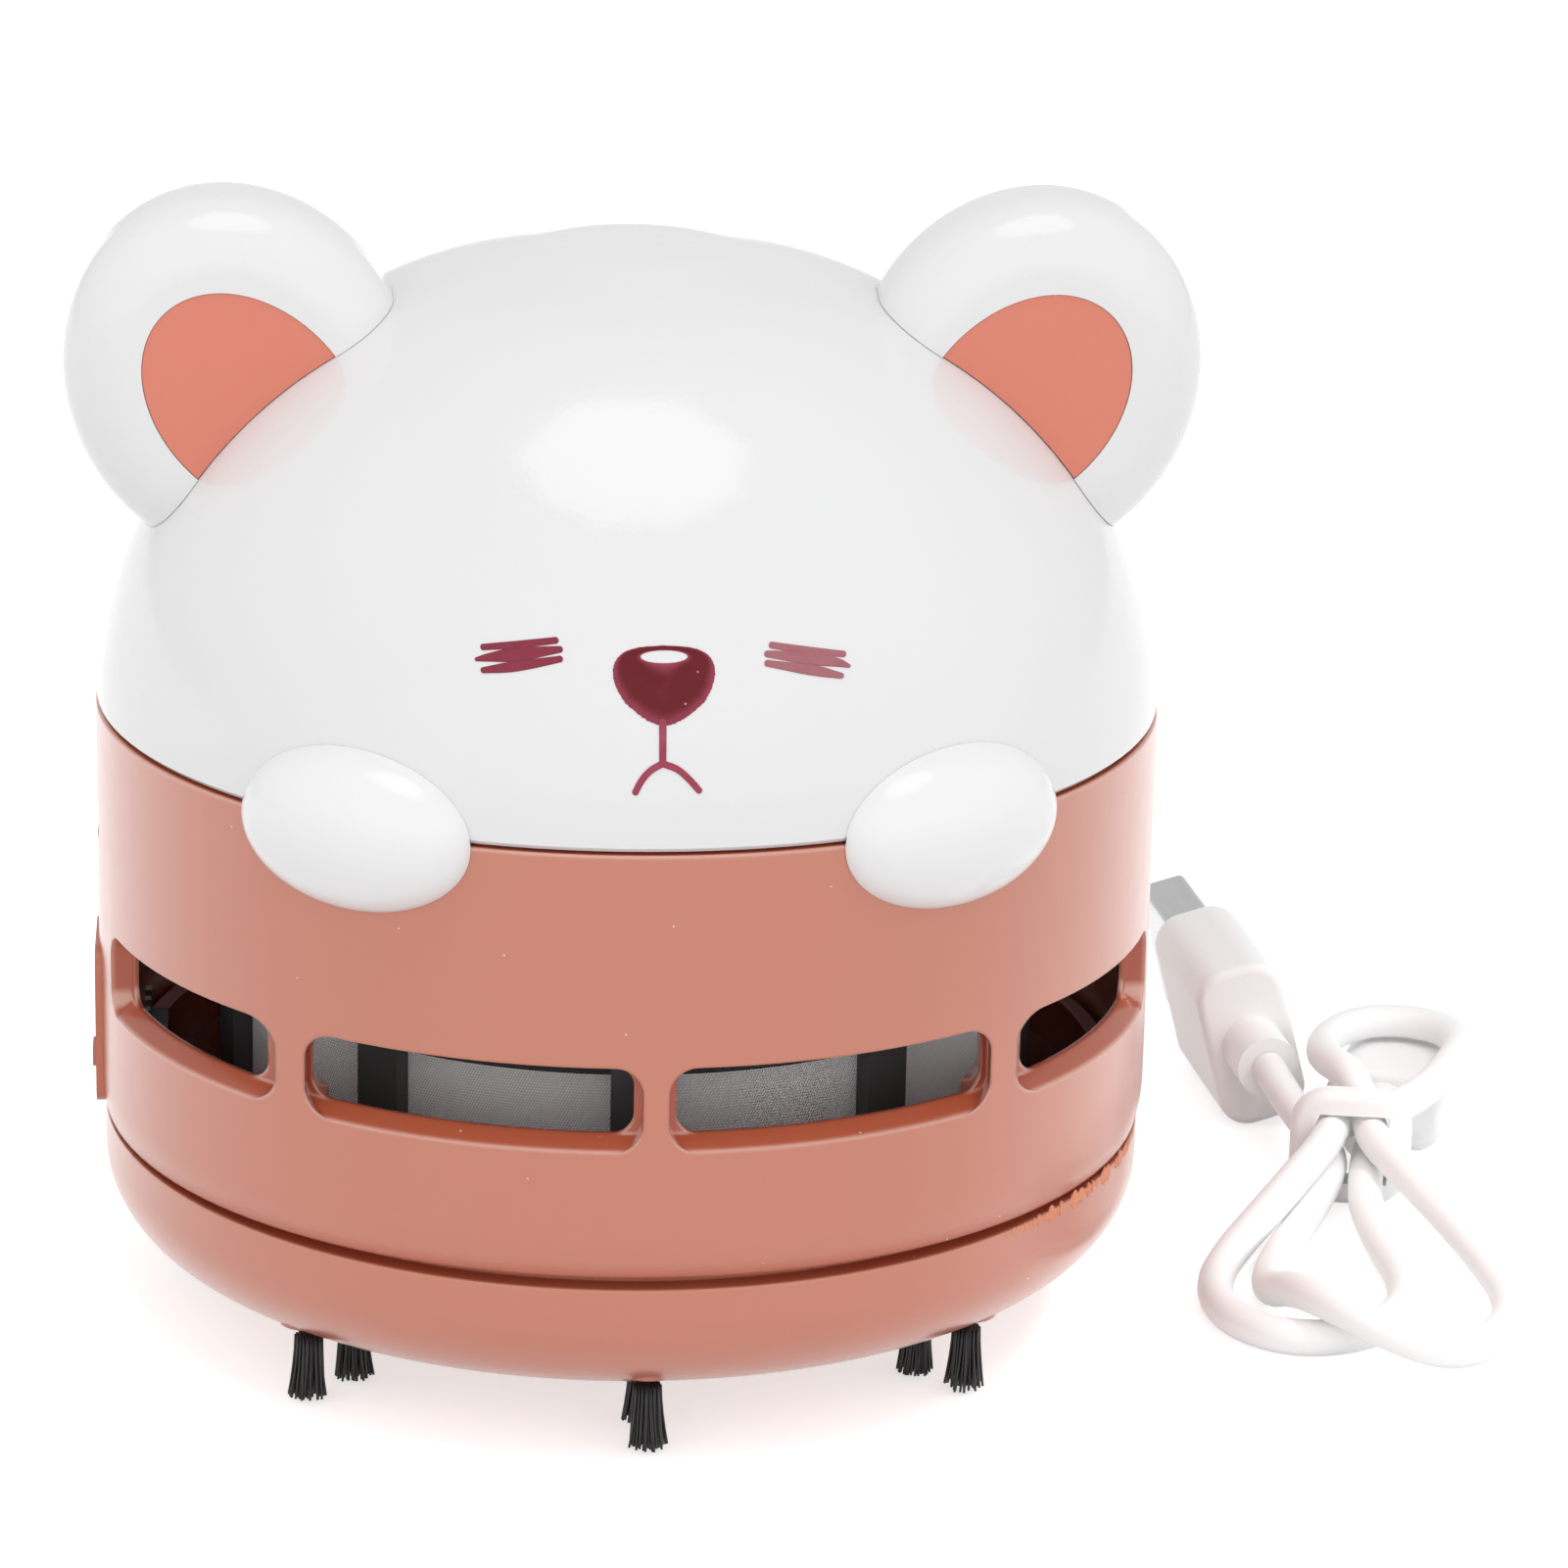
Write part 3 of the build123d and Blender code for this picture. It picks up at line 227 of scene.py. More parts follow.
# ---- Charging cable ------------------------------------------------------------------------
# A white round cable of 3 mm, wound in three loops and held by a soft ring. It lies flat on the
# desk; where two stretches cross, the upper one climbs over in a low hump. Its plugs have
# moulded grips and plated shells.
cable_diameter = 3.0 * mm
cable_place = (64.0, 14.0)
cable_turn = radians(-10.0)
cable_route = (
    (-7.4, 11.2, 7.75), (-6.5, 8.1, 7.4), (-4.2, 4.8, 5.4), (-1.9, 1.7, 3.7), (-1.6, -0.6, 3.55),
    (-1.9, -3.4, 3.2), (-2.9, -7.0, 2.4), (-4.3, -12.0, 1.55), (-5.7, -17.5, 1.5),
    (-6.5, -22.5, 1.5), (-6.2, -27.0, 2.2), (-4.4, -31.6, 4.4), (-1.2, -35.6, 4.8),
    (3.0, -37.7, 3.6), (7.6, -37.5, 1.9), (11.4, -34.4, 1.5), (13.5, -29.3, 1.5),
    (13.5, -23.5, 1.6), (11.3, -17.6, 2.4), (8.1, -11.6, 3.8), (4.6, -6.3, 5.4),
    (2.1, -2.4, 6.5), (1.6, 0.2, 6.7), (1.1, 2.6, 8.0), (-0.4, 5.2, 9.9), (-2.0, 8.0, 9.8),
    (-2.7, 11.5, 9.2), (-2.6, 15.6, 8.8), (-1.4, 19.4, 8.7), (1.4, 22.2, 8.7), (4.9, 22.7, 8.7),
    (8.2, 21.0, 8.7), (9.6, 17.4, 8.7), (8.9, 13.4, 8.5), (6.9, 9.6, 7.4), (4.4, 6.2, 6.7),
    (1.4, 3.6, 6.6), (-1.3, 1.5, 6.6), (-1.7, -0.8, 6.65), (-2.3, -3.6, 6.3), (-4.3, -7.8, 5.2),
    (-7.0, -12.8, 3.5), (-9.6, -17.9, 2.0), (-11.0, -23.4, 1.5), (-10.6, -29.0, 1.5),
    (-8.2, -33.2, 1.5), (-4.4, -35.3, 1.5), (-0.4, -34.6, 1.5), (3.2, -31.4, 1.5),
    (5.1, -26.2, 1.5), (4.6, -20.0, 1.5), (2.7, -13.6, 1.8), (1.4, -7.6, 2.7), (1.4, -2.6, 3.5),
    (1.6, 0.4, 3.55), (1.65, 3.0, 3.55), (1.8, 7.4, 3.5),
)


def on_desk(points):
    """Turns points of the cable's own frame by cable_turn and shifts them to cable_place."""
    p = np.array(points, float)
    c = np.cos(cable_turn)
    s = np.sin(cable_turn)
    x = p[..., 0] * c - p[..., 1] * s + cable_place[0]
    y = p[..., 0] * s + p[..., 1] * c + cable_place[1]
    return np.stack([x, y, p[..., 2]], -1) * mm


def new_group(name, takes, gives):
    """Empty shader node group and its two ends. Each socket is given by its name and kind."""
    group = bpy.data.node_groups.new(name, "ShaderNodeTree")
    for way, sockets in (("INPUT", takes), ("OUTPUT", gives)):
        for label, kind in sockets:
            group.interface.new_socket(label, in_out=way, socket_type="NodeSocket" + kind)
    return group, group.nodes.new("NodeGroupInput"), group.nodes.new("NodeGroupOutput")


def noise(tree, where, cells, detail):
    """Noise between 0 and 1, with so many cells to the metre."""
    made = tree.nodes.new("ShaderNodeTexNoise")
    made.inputs["Scale"].default_value = cells
    made.inputs["Detail"].default_value = detail
    tree.links.new(where, made.inputs["Vector"])
    return made.outputs["Fac"]


def flecks(tree, where, cells, size, share):
    """1 inside a spot in a random share of the cells of a pattern, and 0 elsewhere. The spot's
    size is a share of its cell's."""
    pattern = tree.nodes.new("ShaderNodeTexVoronoi")
    pattern.inputs["Scale"].default_value = cells
    lot = tree.nodes.new("ShaderNodeSeparateColor")
    tree.links.new(where, pattern.inputs["Vector"])
    tree.links.new(pattern.outputs["Color"], lot.inputs["Color"])
    small = maths(tree, "LESS_THAN", pattern.outputs["Distance"], size)
    rare = maths(tree, "LESS_THAN", lot.outputs["Red"], share)
    return maths(tree, "MULTIPLY", small, rare)


def mixed(tree, share, first, second):
    """Colour between two colours, each an output or its red, green and blue."""
    made = tree.nodes.new("ShaderNodeMix")
    made.data_type = "RGBA"
    feed(tree, share, made.inputs["Factor"])
    for label, colour in (("A", first), ("B", second)):
        feed(tree, (*colour, 1) if isinstance(colour, tuple) else colour, made.inputs[label])
    return made.outputs["Result"]


def scaled(tree, colour, share):
    """A colour, as an output or as its red, green and blue, times a share."""
    made = tree.nodes.new("ShaderNodeVectorMath")
    made.operation = "SCALE"
    feed(tree, colour, made.inputs[0])
    feed(tree, share, made.inputs["Scale"])
    return made.outputs["Vector"]


def bumped(tree, height, strength, distance):
    """Normal of a surface that is raised by distance times a height."""
    made = tree.nodes.new("ShaderNodeBump")
    made.inputs["Strength"].default_value = strength
    made.inputs["Distance"].default_value = distance
    tree.links.new(height, made.inputs["Height"])
    return made.outputs["Normal"]


cloud_cells = 38.0
rub_cells = 420.0
peel_cells = 170.0
grain_cells = 2600.0
speck_cells = 400.0
speck_size = 0.035
peel_share = 0.7
grain_share = 0.3
grain_depth = 0.04 * mm


def moulded_grain():
    """Group for moulded plastic: cloudy colour, uneven gloss, orange peel and a few dust specks.
    The clouds and the gloss vary about their middle by Mottle and Uneven."""
    group, given, result = new_group(
        "moulded_grain",
        (("Colour", "Color"), ("Dust Colour", "Color"), ("Mottle", "Float"),
         ("Roughness", "Float"), ("Uneven", "Float"), ("Dust", "Float")),
        (("Colour", "Color"), ("Roughness", "Float"), ("Height", "Float")),
    )
    place = group.nodes.new("ShaderNodeTexCoord").outputs["Object"]
    cloud = maths(group, "SUBTRACT", noise(group, place, cloud_cells, 2.0), 0.5)
    shade = maths(group, "ADD", maths(group, "MULTIPLY", cloud, given.outputs["Mottle"]), 1.0)
    cloudy = scaled(group, given.outputs["Colour"], shade)
    specks = flecks(group, place, speck_cells, speck_size, given.outputs["Dust"])
    dusty = mixed(group, specks, cloudy, given.outputs["Dust Colour"])
    rub = maths(group, "SUBTRACT", noise(group, place, rub_cells, 3.0), 0.5)
    worn = maths(group, "MULTIPLY", rub, given.outputs["Uneven"])
    gloss = maths(group, "ADD", worn, given.outputs["Roughness"])
    peel = maths(group, "MULTIPLY", noise(group, place, peel_cells, 1.0), peel_share)
    fine = noise(group, place, grain_cells, 2.0)
    grain = maths(group, "MULTIPLY_ADD", fine, grain_share, peel)
    group.links.new(dusty, result.inputs["Colour"])
    group.links.new(gloss, result.inputs["Roughness"])
    group.links.new(grain, result.inputs["Height"])
    return group


grain_group = moulded_grain()


def moulded(name, colour, roughness, dust_colour, mottle=0.05, dust=0.12, uneven=0.10):
    """Moulded plastic: the grain group drives colour, roughness and a fine bump."""
    material, tree, out = new_material(name)
    body = tree.nodes.new("ShaderNodeBsdfPrincipled")
    grain = tree.nodes.new("ShaderNodeGroup")
    grain.node_tree = grain_group
    grain.inputs["Colour"].default_value = (*colour, 1)
    grain.inputs["Dust Colour"].default_value = (*dust_colour, 1)
    grain.inputs["Mottle"].default_value = mottle
    grain.inputs["Roughness"].default_value = roughness
    grain.inputs["Uneven"].default_value = uneven
    grain.inputs["Dust"].default_value = dust
    relief = bumped(tree, grain.outputs["Height"], 1.0, grain_depth)
    tree.links.new(grain.outputs["Colour"], body.inputs["Base Color"])
    tree.links.new(grain.outputs["Roughness"], body.inputs["Roughness"])
    tree.links.new(relief, body.inputs["Normal"])
    tree.links.new(body.outputs["BSDF"], out.inputs["Surface"])
    return material


def dress(material, *names):
    """Gives CAD nodes a material in every slot they have."""
    for name in names:
        thing = bpy.data.objects[name]
        if not thing.material_slots:
            thing.data.materials.append(material)
        for slot in thing.material_slots:
            slot.material = material


vinyl_white = (0.95, 0.95, 0.95)
vinyl_dust = (0.6, 0.6, 0.58)
cable_vinyl = moulded("cable_vinyl", vinyl_white, 0.42, vinyl_dust, dust=0.05)
route = on_desk(cable_route)
cable_line = bpy.data.curves.new("cable", "CURVE")
cable_line.dimensions = "3D"
spline = cable_line.splines.new("NURBS")
spline.points.add(len(route) - 1)
spline.points.foreach_set("co", np.c_[route, np.ones(len(route))].ravel())
spline.order_u = 3
spline.use_endpoint_u = True
spline.resolution_u = 10
cable_line.bevel_depth = cable_diameter / 2
cable_line.bevel_resolution = 6
cable_line.use_fill_caps = True
cable = added("cable", cable_line)
cable.data.materials.append(cable_vinyl)
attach(cable, "base")
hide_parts("cable_loops", "cable_top_loop", "cable_lead_a", "cable_lead_micro")

plug_vinyl = moulded("plug_vinyl", vinyl_white, 0.38, vinyl_dust, dust=0.08)
dress(plug_vinyl, "usb_a_grip", "micro_grip", "cable_tie")
tongue_white = moulded("tongue_white", (0.82, 0.82, 0.80), 0.45, vinyl_dust)
dress(tongue_white, "usb_a_tongue")

streak_cells = 900.0
streak_depth = 0.03 * mm
streak_tone = (0.85, 1.1)
streak_polished = 0.08
streak_dulled = 0.12


def plated(name, colour, roughness, stretch):
    """Rolled and plated steel: fine streaks in one direction vary tone, roughness and height."""
    material, tree, out = new_material(name)
    body = tree.nodes.new("ShaderNodeBsdfPrincipled")
    place = tree.nodes.new("ShaderNodeTexCoord")
    pull = tree.nodes.new("ShaderNodeMapping")
    pull.inputs["Scale"].default_value = stretch
    tree.links.new(place.outputs["Object"], pull.inputs["Vector"])
    streak = noise(tree, pull.outputs["Vector"], streak_cells, 4.0)
    tint = scaled(tree, colour, ramp(tree, streak, 0.0, 1.0, *streak_tone))
    smoothest = roughness - streak_polished
    gloss = ramp(tree, streak, 0.0, 1.0, smoothest, roughness + streak_dulled)
    body.inputs["Metallic"].default_value = 1.0
    tree.links.new(tint, body.inputs["Base Color"])
    tree.links.new(gloss, body.inputs["Roughness"])
    tree.links.new(bumped(tree, streak, 0.6, streak_depth), body.inputs["Normal"])
    tree.links.new(body.outputs["BSDF"], out.inputs["Surface"])
    return material


plug_nickel = plated("plug_nickel", (0.66, 0.66, 0.66), 0.26, (1.0, 0.2, 1.0))
dress(plug_nickel, "usb_a_metal", "micro_metal")

# ---- Bottom cover --------------------------------------------------------------------------
# Dished salmon cover with the suction inlet and the sockets of the brush, moulded in one piece.
# A little flash is left on its top edge.
salmon = (0.568, 0.187, 0.115)
# Deeper salmon painted on the cut faces: painted shade in the slots and on the cut edges.
shaded_cut_salmon = (0.470, 0.105, 0.052)
salmon_dust = (0.80, 0.55, 0.48)
satin = 0.32
cut_gloss = 0.15
cut_coat = 0.15
coat_roughness = 0.24
edge_round = 0.45 * mm
edge_samples = 6
edge_above_side = (0.12, 0.40)
edge_below_top = (0.62, 0.84)
blend_outside = 0.45 * mm
blend_bore = 0.15 * mm
blend_above = 0.30 * mm
cover_radius = 42.6 * mm
cover_top = 16.35 * mm
cover_bore = 30.0 * mm
cover_cut_height = 15.4 * mm
# Paler colour painted on the cover's rounded edges where they face up: a painted highlight.
cover_rim_highlight = (0.62, 0.24, 0.11)


def cut_face_mask():
    """Group for a round wall: 1 on faces between its outside and its bore, above a height. A
    place's distance from the axis is the length of its x and y."""
    group, given, result = new_group(
        "cut_face_mask",
        (("Outside", "Float"), ("Bore", "Float"), ("Above", "Float")),
        (("Mask", "Float"),),
    )
    place = group.nodes.new("ShaderNodeTexCoord").outputs["Object"]
    level = group.nodes.new("ShaderNodeVectorMath")
    level.operation = "MULTIPLY"
    level.inputs[1].default_value = (1.0, 1.0, 0.0)
    reach = group.nodes.new("ShaderNodeVectorMath")
    reach.operation = "LENGTH"
    height = group.nodes.new("ShaderNodeSeparateXYZ")
    group.links.new(place, level.inputs[0])
    group.links.new(level.outputs["Vector"], reach.inputs[0])
    group.links.new(place, height.inputs["Vector"])

    def step(start, end, far):
        """Rises smoothly from 0 to 1 while end minus start goes from a fifth of far to far."""
        rise = group.nodes.new("ShaderNodeMapRange")
        rise.interpolation_type = "SMOOTHSTEP"
        rise.inputs["From Min"].default_value = far * 0.2
        rise.inputs["From Max"].default_value = far
        group.links.new(maths(group, "SUBTRACT", end, start), rise.inputs["Value"])
        return rise.outputs["Result"]

    within = step(reach.outputs["Value"], given.outputs["Outside"], blend_outside)
    beyond = step(given.outputs["Bore"], reach.outputs["Value"], blend_bore)
    raised = step(given.outputs["Above"], height.outputs["Z"], blend_above)
    mask = maths(group, "MULTIPLY", maths(group, "MULTIPLY", within, beyond), raised)
    group.links.new(mask, result.inputs["Mask"])
    return group


cut_faces = cut_face_mask()


def shell_plastic(name, outside, bore, above, rim):
    """Satin salmon plastic of a round shell, whose moulded cut faces are glossier and painted
    deeper in colour, as painted shade in the recesses. Its edges are rounded by edge_round, and
    painted paler where the rounding faces up, as a painted highlight."""
    material = moulded(name, salmon, satin, salmon_dust, dust=0.45)
    tree = material.node_tree
    body = tree.nodes["Principled BSDF"]
    grain = tree.nodes["Group"]
    mask = tree.nodes.new("ShaderNodeGroup")
    mask.node_tree = cut_faces
    mask.inputs["Outside"].default_value = outside
    mask.inputs["Bore"].default_value = bore
    mask.inputs["Above"].default_value = above
    cut = mask.outputs["Mask"]
    rounded = tree.nodes.new("ShaderNodeBevel")
    rounded.samples = edge_samples
    rounded.inputs["Radius"].default_value = edge_round
    tilt = tree.nodes.new("ShaderNodeSeparateXYZ")
    tree.links.new(rounded.outputs["Normal"], tilt.inputs["Vector"])
    off_side = ramp(tree, tilt.outputs["Z"], *edge_above_side, 0.0, 1.0)
    off_top = ramp(tree, tilt.outputs["Z"], *edge_below_top, 1.0, 0.0)
    facing_up = maths(tree, "MULTIPLY", off_side, off_top)
    # Painted shade deepens the colour of the cut faces, and a painted highlight pales the rounded
    # edges where they face up.
    colour = mixed(tree, facing_up, mixed(tree, cut, salmon, shaded_cut_salmon), rim)
    tree.links.new(colour, grain.inputs["Colour"])
    tree.links.new(ramp(tree, cut, 0.0, 1.0, satin, cut_gloss), grain.inputs["Roughness"])
    tree.links.new(ramp(tree, cut, 0.0, 1.0, 1.0, cut_coat), body.inputs["Coat Weight"])
    tree.links.new(rounded.outputs["Normal"], tree.nodes["Bump"].inputs["Normal"])
    body.inputs["Coat Roughness"].default_value = coat_roughness
    return material


cover_plastic = shell_plastic(
    "cover_plastic", cover_radius, cover_bore, cover_cut_height, cover_rim_highlight
)
dress(cover_plastic, "bottom_cover")

flash_span = (41.0, 77.0)
flash_rings = 640
flash_sides = 12
flash_height = 0.36 * mm
flash_thickness = 0.10 * mm
flash_grain_out = 0.012  # standard deviation in millimetres
flash_grain_up = 0.025  # standard deviation in millimetres
flash_margin = 12
flash_range = (0.2, 1.5)
flash_inset = 0.03 * mm
flash_drop = 0.30 * mm
finger_relief = 0.75 * mm


def mould_flash():
    """Crumbled flash on the cover's top edge: a closed tube along the edge, whose section is an
    ellipse with half axes that vary at random by a factor between a fifth and one and a half,
    and that narrow to a third at both ends."""
    chance = np.random.default_rng(3)
    azimuth = np.radians(np.linspace(*flash_span, flash_rings))
    coarse = chance.normal(0, 1, flash_rings + 2 * flash_margin)
    kept = slice(flash_margin, -flash_margin)
    rough = np.convolve(coarse, np.hanning(9) / 2.0, "same")[kept]
    slow = np.convolve(coarse[::-1], np.hanning(25) / 4.0, "same")[kept]
    swell = np.clip(0.75 + 0.45 * rough + 0.5 * slow, *flash_range)
    swell *= np.sin(np.linspace(0.06, pi - 0.06, flash_rings)) ** 0.4
    turn = np.linspace(0, 2 * pi, flash_sides, endpoint=False)
    out_by = np.cos(turn)[None] * swell[:, None] * flash_thickness
    out_by += chance.normal(0, flash_grain_out, out_by.shape) * mm
    up_by = np.sin(turn)[None] * (swell * (1 + 0.3 * slow))[:, None] * flash_height
    up_by += chance.normal(0, flash_grain_up, up_by.shape) * mm
    radius = cover_radius - flash_inset + out_by
    height = cover_top - finger_relief * np.cos(azimuth)[:, None] - flash_drop + up_by
    points = np.stack(
        [radius * np.sin(azimuth)[:, None], -radius * np.cos(azimuth)[:, None], height], -1
    )
    index = np.arange(flash_rings * flash_sides).reshape(flash_rings, flash_sides)
    after = np.roll(index, -1, 1)
    quads = np.stack([index[:-1], after[:-1], after[1:], index[1:]], -1).reshape(-1, 4)
    mesh = bpy.data.meshes.new("mould_flash")
    mesh.from_pydata(
        points.reshape(-1, 3), [], quads.tolist() + [index[0, ::-1].tolist(), index[-1].tolist()]
    )
    return added("mould_flash", mesh)


flash = mould_flash()
flash_plastic = moulded("flash_plastic", (0.66, 0.25, 0.14), 0.40, (0.75, 0.5, 0.4), mottle=0.6)
flash.data.materials.append(flash_plastic)
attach(flash, "base")

# ---- Brush ---------------------------------------------------------------------------------
# Sixteen tufts of black nylon bristles in eight rows, punched into the underside and trimmed a
# little over the desk. The outer ones at the two sides are worn.
bristles_per_tuft = 74
bristle_radius = 0.11 * mm
bristle_sides = 5
bristle_rings = 5
bristle_bow = 1.6
bristle_sway = 0.15  # standard deviation in millimetres
bristle_cut = (0.02, 0.55)  # square roots of what a bristle falls short by, in millimetres
bristle_trim = 0.35 * mm
root_depth = 0.3 * mm
tuft_rows = 8
tuft_row_radii = (32.0 * mm, 37.0 * mm)
tuft_root_radius = 1.08 * mm
tuft_tip_radius = 1.52 * mm
tuft_widest = 1.62 * mm
tuft_drift = 0.16  # standard deviation in millimetres
brush_height = 5.2 * mm
worn_shorter = 1.9 * mm
worn_lean = 1.0 * mm


def tubes(name, lines, radius, sides):
    """Thin closed tubes along lines[n, ring, 3], all in one mesh: ring k of each is a small circle
    round line point k, the ends closed by a flat face."""
    count, rings, _ = lines.shape
    turn = np.linspace(0, 2 * pi, sides, endpoint=False)
    circle = np.stack([np.cos(turn), np.sin(turn), np.zeros(sides)], -1)
    points = lines[:, :, None, :] + radius * circle[None, None]
    base = (np.arange(count) * rings * sides)[:, None, None]
    ring = (np.arange(rings - 1) * sides)[None, :, None]
    here = np.arange(sides)[None, None, :]
    after = (here + 1) % sides
    quads = np.stack(
        [base + ring + here, base + ring + sides + here, base + ring + sides + after,
         base + ring + after], -1
    ).reshape(-1, 4)
    top = base[:, 0] + here[0]
    bottom = base[:, 0] + (rings - 1) * sides + here[0, :, ::-1]
    mesh = bpy.data.meshes.new(name)
    mesh.from_pydata(
        points.reshape(-1, 3), [], quads.tolist() + top.tolist() + bottom.tolist()
    )
    mesh.shade_smooth()
    return added(name, mesh)


def bristle_lines():
    """Centre lines of every bristle: from a sunflower pattern of roots, each bristle leans out to
    its own tip, and has gone a share of the way that is its share of the depth to the power
    bristle_bow. The outer tufts at the two sides are worn shorter and lean inwards."""
    chance = np.random.default_rng(11)
    lines = []
    index = np.arange(bristles_per_tuft)
    spread = np.sqrt((index + 0.5) / bristles_per_tuft)
    golden = index * pi * (3 - 5**0.5)
    root_height = brush_height + root_depth
    for row in range(tuft_rows):
        for row_radius in tuft_row_radii:
            angle = 2 * pi * row / tuft_rows
            centre = np.array([sin(angle), -cos(angle)]) * row_radius
            root = spread[:, None] * np.stack([np.cos(golden), np.sin(golden)], -1)
            sway = chance.normal(0, bristle_sway, root.shape) * mm
            drift = chance.normal(0, tuft_drift, 2) * mm
            tip = root * tuft_tip_radius + sway + drift
            size = np.linalg.norm(tip, axis=1, keepdims=True)
            tip *= np.minimum(1, tuft_widest / size)
            low = chance.uniform(*bristle_cut, bristles_per_tuft) ** 2 * mm + bristle_trim
            if abs(sin(angle)) > 0.99 and row_radius == max(tuft_row_radii):
                low = low + worn_shorter
                tip = tip - centre / row_radius * worn_lean
            t = np.linspace(0, 1, bristle_rings)
            bow = (t**bristle_bow)[None, :, None]
            flat = root[:, None] * tuft_root_radius * (1 - bow) + tip[:, None] * bow
            z = root_height - (root_height - low)[:, None] * t
            lines.append(np.concatenate([flat + centre, z[..., None]], -1))
    return np.concatenate(lines)


brush = tubes("brush_bristles", bristle_lines(), bristle_radius, bristle_sides)
# The grey specks and clouds on the black nylon stand for dust and, in part, for the bristles'
# glints: painted highlight.
bristle_nylon = moulded(
    "bristle_nylon", (0.022, 0.022, 0.023), 0.34, (0.35, 0.34, 0.32), mottle=0.5, dust=0.5,
    uneven=0.3,
)
brush.data.materials.append(bristle_nylon)
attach(brush, "base")
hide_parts("brush_tufts")

# ---- Filter cage and mesh ------------------------------------------------------------------
# Black cage of ten posts between two rings, with fine grey wire cloth welded inside it. The
# cloth is black above a set height, in a band along its top, and a soft ring seals the cage's top.
cage_black = moulded("cage_black", (0.055, 0.055, 0.058), 0.36, (0.12, 0.12, 0.12), dust=0.2)
dress(cage_black, "filter_cage")

mesh_radius = 32.2 * mm
weave_pitch = 0.23 * mm
weave_depth = 0.04 * mm
weft_share = 0.55
wire_contrast = 0.32
wire_roughness = 0.38
wire_dulled = 0.15
black_band_height = 29.37 * mm
# The cloth's grey between the wires is painted shade, and its white on the wires' crests is
# painted highlight.
shaded_wire_gap = (0.50, 0.50, 0.505)
highlit_wire_top = (1.0, 1.0, 1.0)
band_black = (0.03, 0.03, 0.032)
woven_mesh, tree, out = new_material("woven_mesh")
body = tree.nodes.new("ShaderNodeBsdfPrincipled")
place = tree.nodes.new("ShaderNodeTexCoord")
axis = tree.nodes.new("ShaderNodeSeparateXYZ")
tree.links.new(place.outputs["Object"], axis.inputs["Vector"])

# The wires are sine waves along the height and round the ring; the upright ones lean by half a
# pitch from one level wire to the next, as in twill.
around = maths(tree, "ARCTAN2", axis.outputs["X"], axis.outputs["Y"])
along = maths(tree, "MULTIPLY", around, mesh_radius / weave_pitch * 2 * pi)
rise = maths(tree, "MULTIPLY", axis.outputs["Z"], 2 * pi / weave_pitch)
warp = maths(tree, "SINE", maths(tree, "MULTIPLY_ADD", rise, 0.5, along))
weft = maths(tree, "SINE", rise)
cross = maths(tree, "MULTIPLY_ADD", weft, weft_share, warp)
wire = maths(tree, "MULTIPLY_ADD", cross, wire_contrast, 0.5)
# The cloth is black above a set height, in a band along its top.
black_band = maths(tree, "GREATER_THAN", axis.outputs["Z"], black_band_height)
# The colour follows the wires' height: grey in the valleys as painted shade, white on the crests
# as painted highlight.
colour = mixed(tree, black_band, mixed(tree, wire, shaded_wire_gap, highlit_wire_top), band_black)
gloss = maths(tree, "MULTIPLY_ADD", wire, wire_dulled, wire_roughness)
tree.links.new(colour, body.inputs["Base Color"])
tree.links.new(gloss, body.inputs["Roughness"])
tree.links.new(bumped(tree, cross, 0.6, weave_depth), body.inputs["Normal"])
tree.links.new(body.outputs["BSDF"], out.inputs["Surface"])
dress(woven_mesh, "filter_mesh")

black_dust = (0.1, 0.1, 0.1)
seal_rubber = moulded("seal_rubber", (0.02, 0.02, 0.02), 0.8, black_dust)
dress(seal_rubber, "filter_seal")

# ---- Housing, side panel and switch --------------------------------------------------------
# Salmon wall with eight exhaust slots. A flat panel is set into its left side, with the knob of
# the power switch.
housing_radius = 43.0 * mm
housing_bore = 41.0 * mm
# Paler colour painted on the housing's rounded edges where they face up, along the slots: a
# painted highlight.
slot_rim_highlight = (0.76, 0.43, 0.35)
panel_dust = (0.75, 0.45, 0.38)
housing_plastic = shell_plastic("housing_plastic", housing_radius, housing_bore, 0.0, slot_rim_highlight)
dress(housing_plastic, "housing")
panel_plastic = moulded("panel_plastic", salmon, 0.30, panel_dust)
dress(panel_plastic, "side_panel")
knob_plastic = moulded("knob_plastic", (0.55, 0.25, 0.18), 0.45, panel_dust)
dress(knob_plastic, "switch_knob")
switch_black = moulded("switch_black", (0.02, 0.02, 0.02), 0.5, black_dust)
dress(switch_black, "switch_body", "board_parts")
contact_tin = plated("contact_tin", (0.20, 0.19, 0.18), 0.45, (1, 1, 0.3))
dress(contact_tin, "switch_pins", "motor_terminals")

# ---- Motor, its carrier, cell and charging board -------------------------------------------
# The plain white carrier closes the dust chamber and is screwed to the dome's posts from below.
# The motor, the cell in its blue sleeve and the green board stand on it, and the impeller turns
# under it.
carrier_dust = (0.4, 0.4, 0.38)
carrier_plastic = moulded("carrier_plastic", (0.70, 0.70, 0.69), 0.48, carrier_dust)
dress(carrier_plastic, "motor_carrier", "motor_end_cap")
impeller_plastic = moulded("impeller_plastic", (0.74, 0.74, 0.73), 0.40, carrier_dust)
dress(impeller_plastic, "impeller")
can_steel = plated("can_steel", (0.56, 0.56, 0.57), 0.30, (1, 1, 0.15))
dress(can_steel, "motor_can", "case_screws", "motor_shaft", "charging_port")
cell_sleeve = moulded("cell_sleeve", (0.03, 0.14, 0.40), 0.30, (0.4, 0.5, 0.6))
dress(cell_sleeve, "lithium_cell")
board_mask = moulded("board_mask", (0.01, 0.10, 0.04), 0.35, (0.3, 0.4, 0.3))
dress(board_mask, "charging_board")

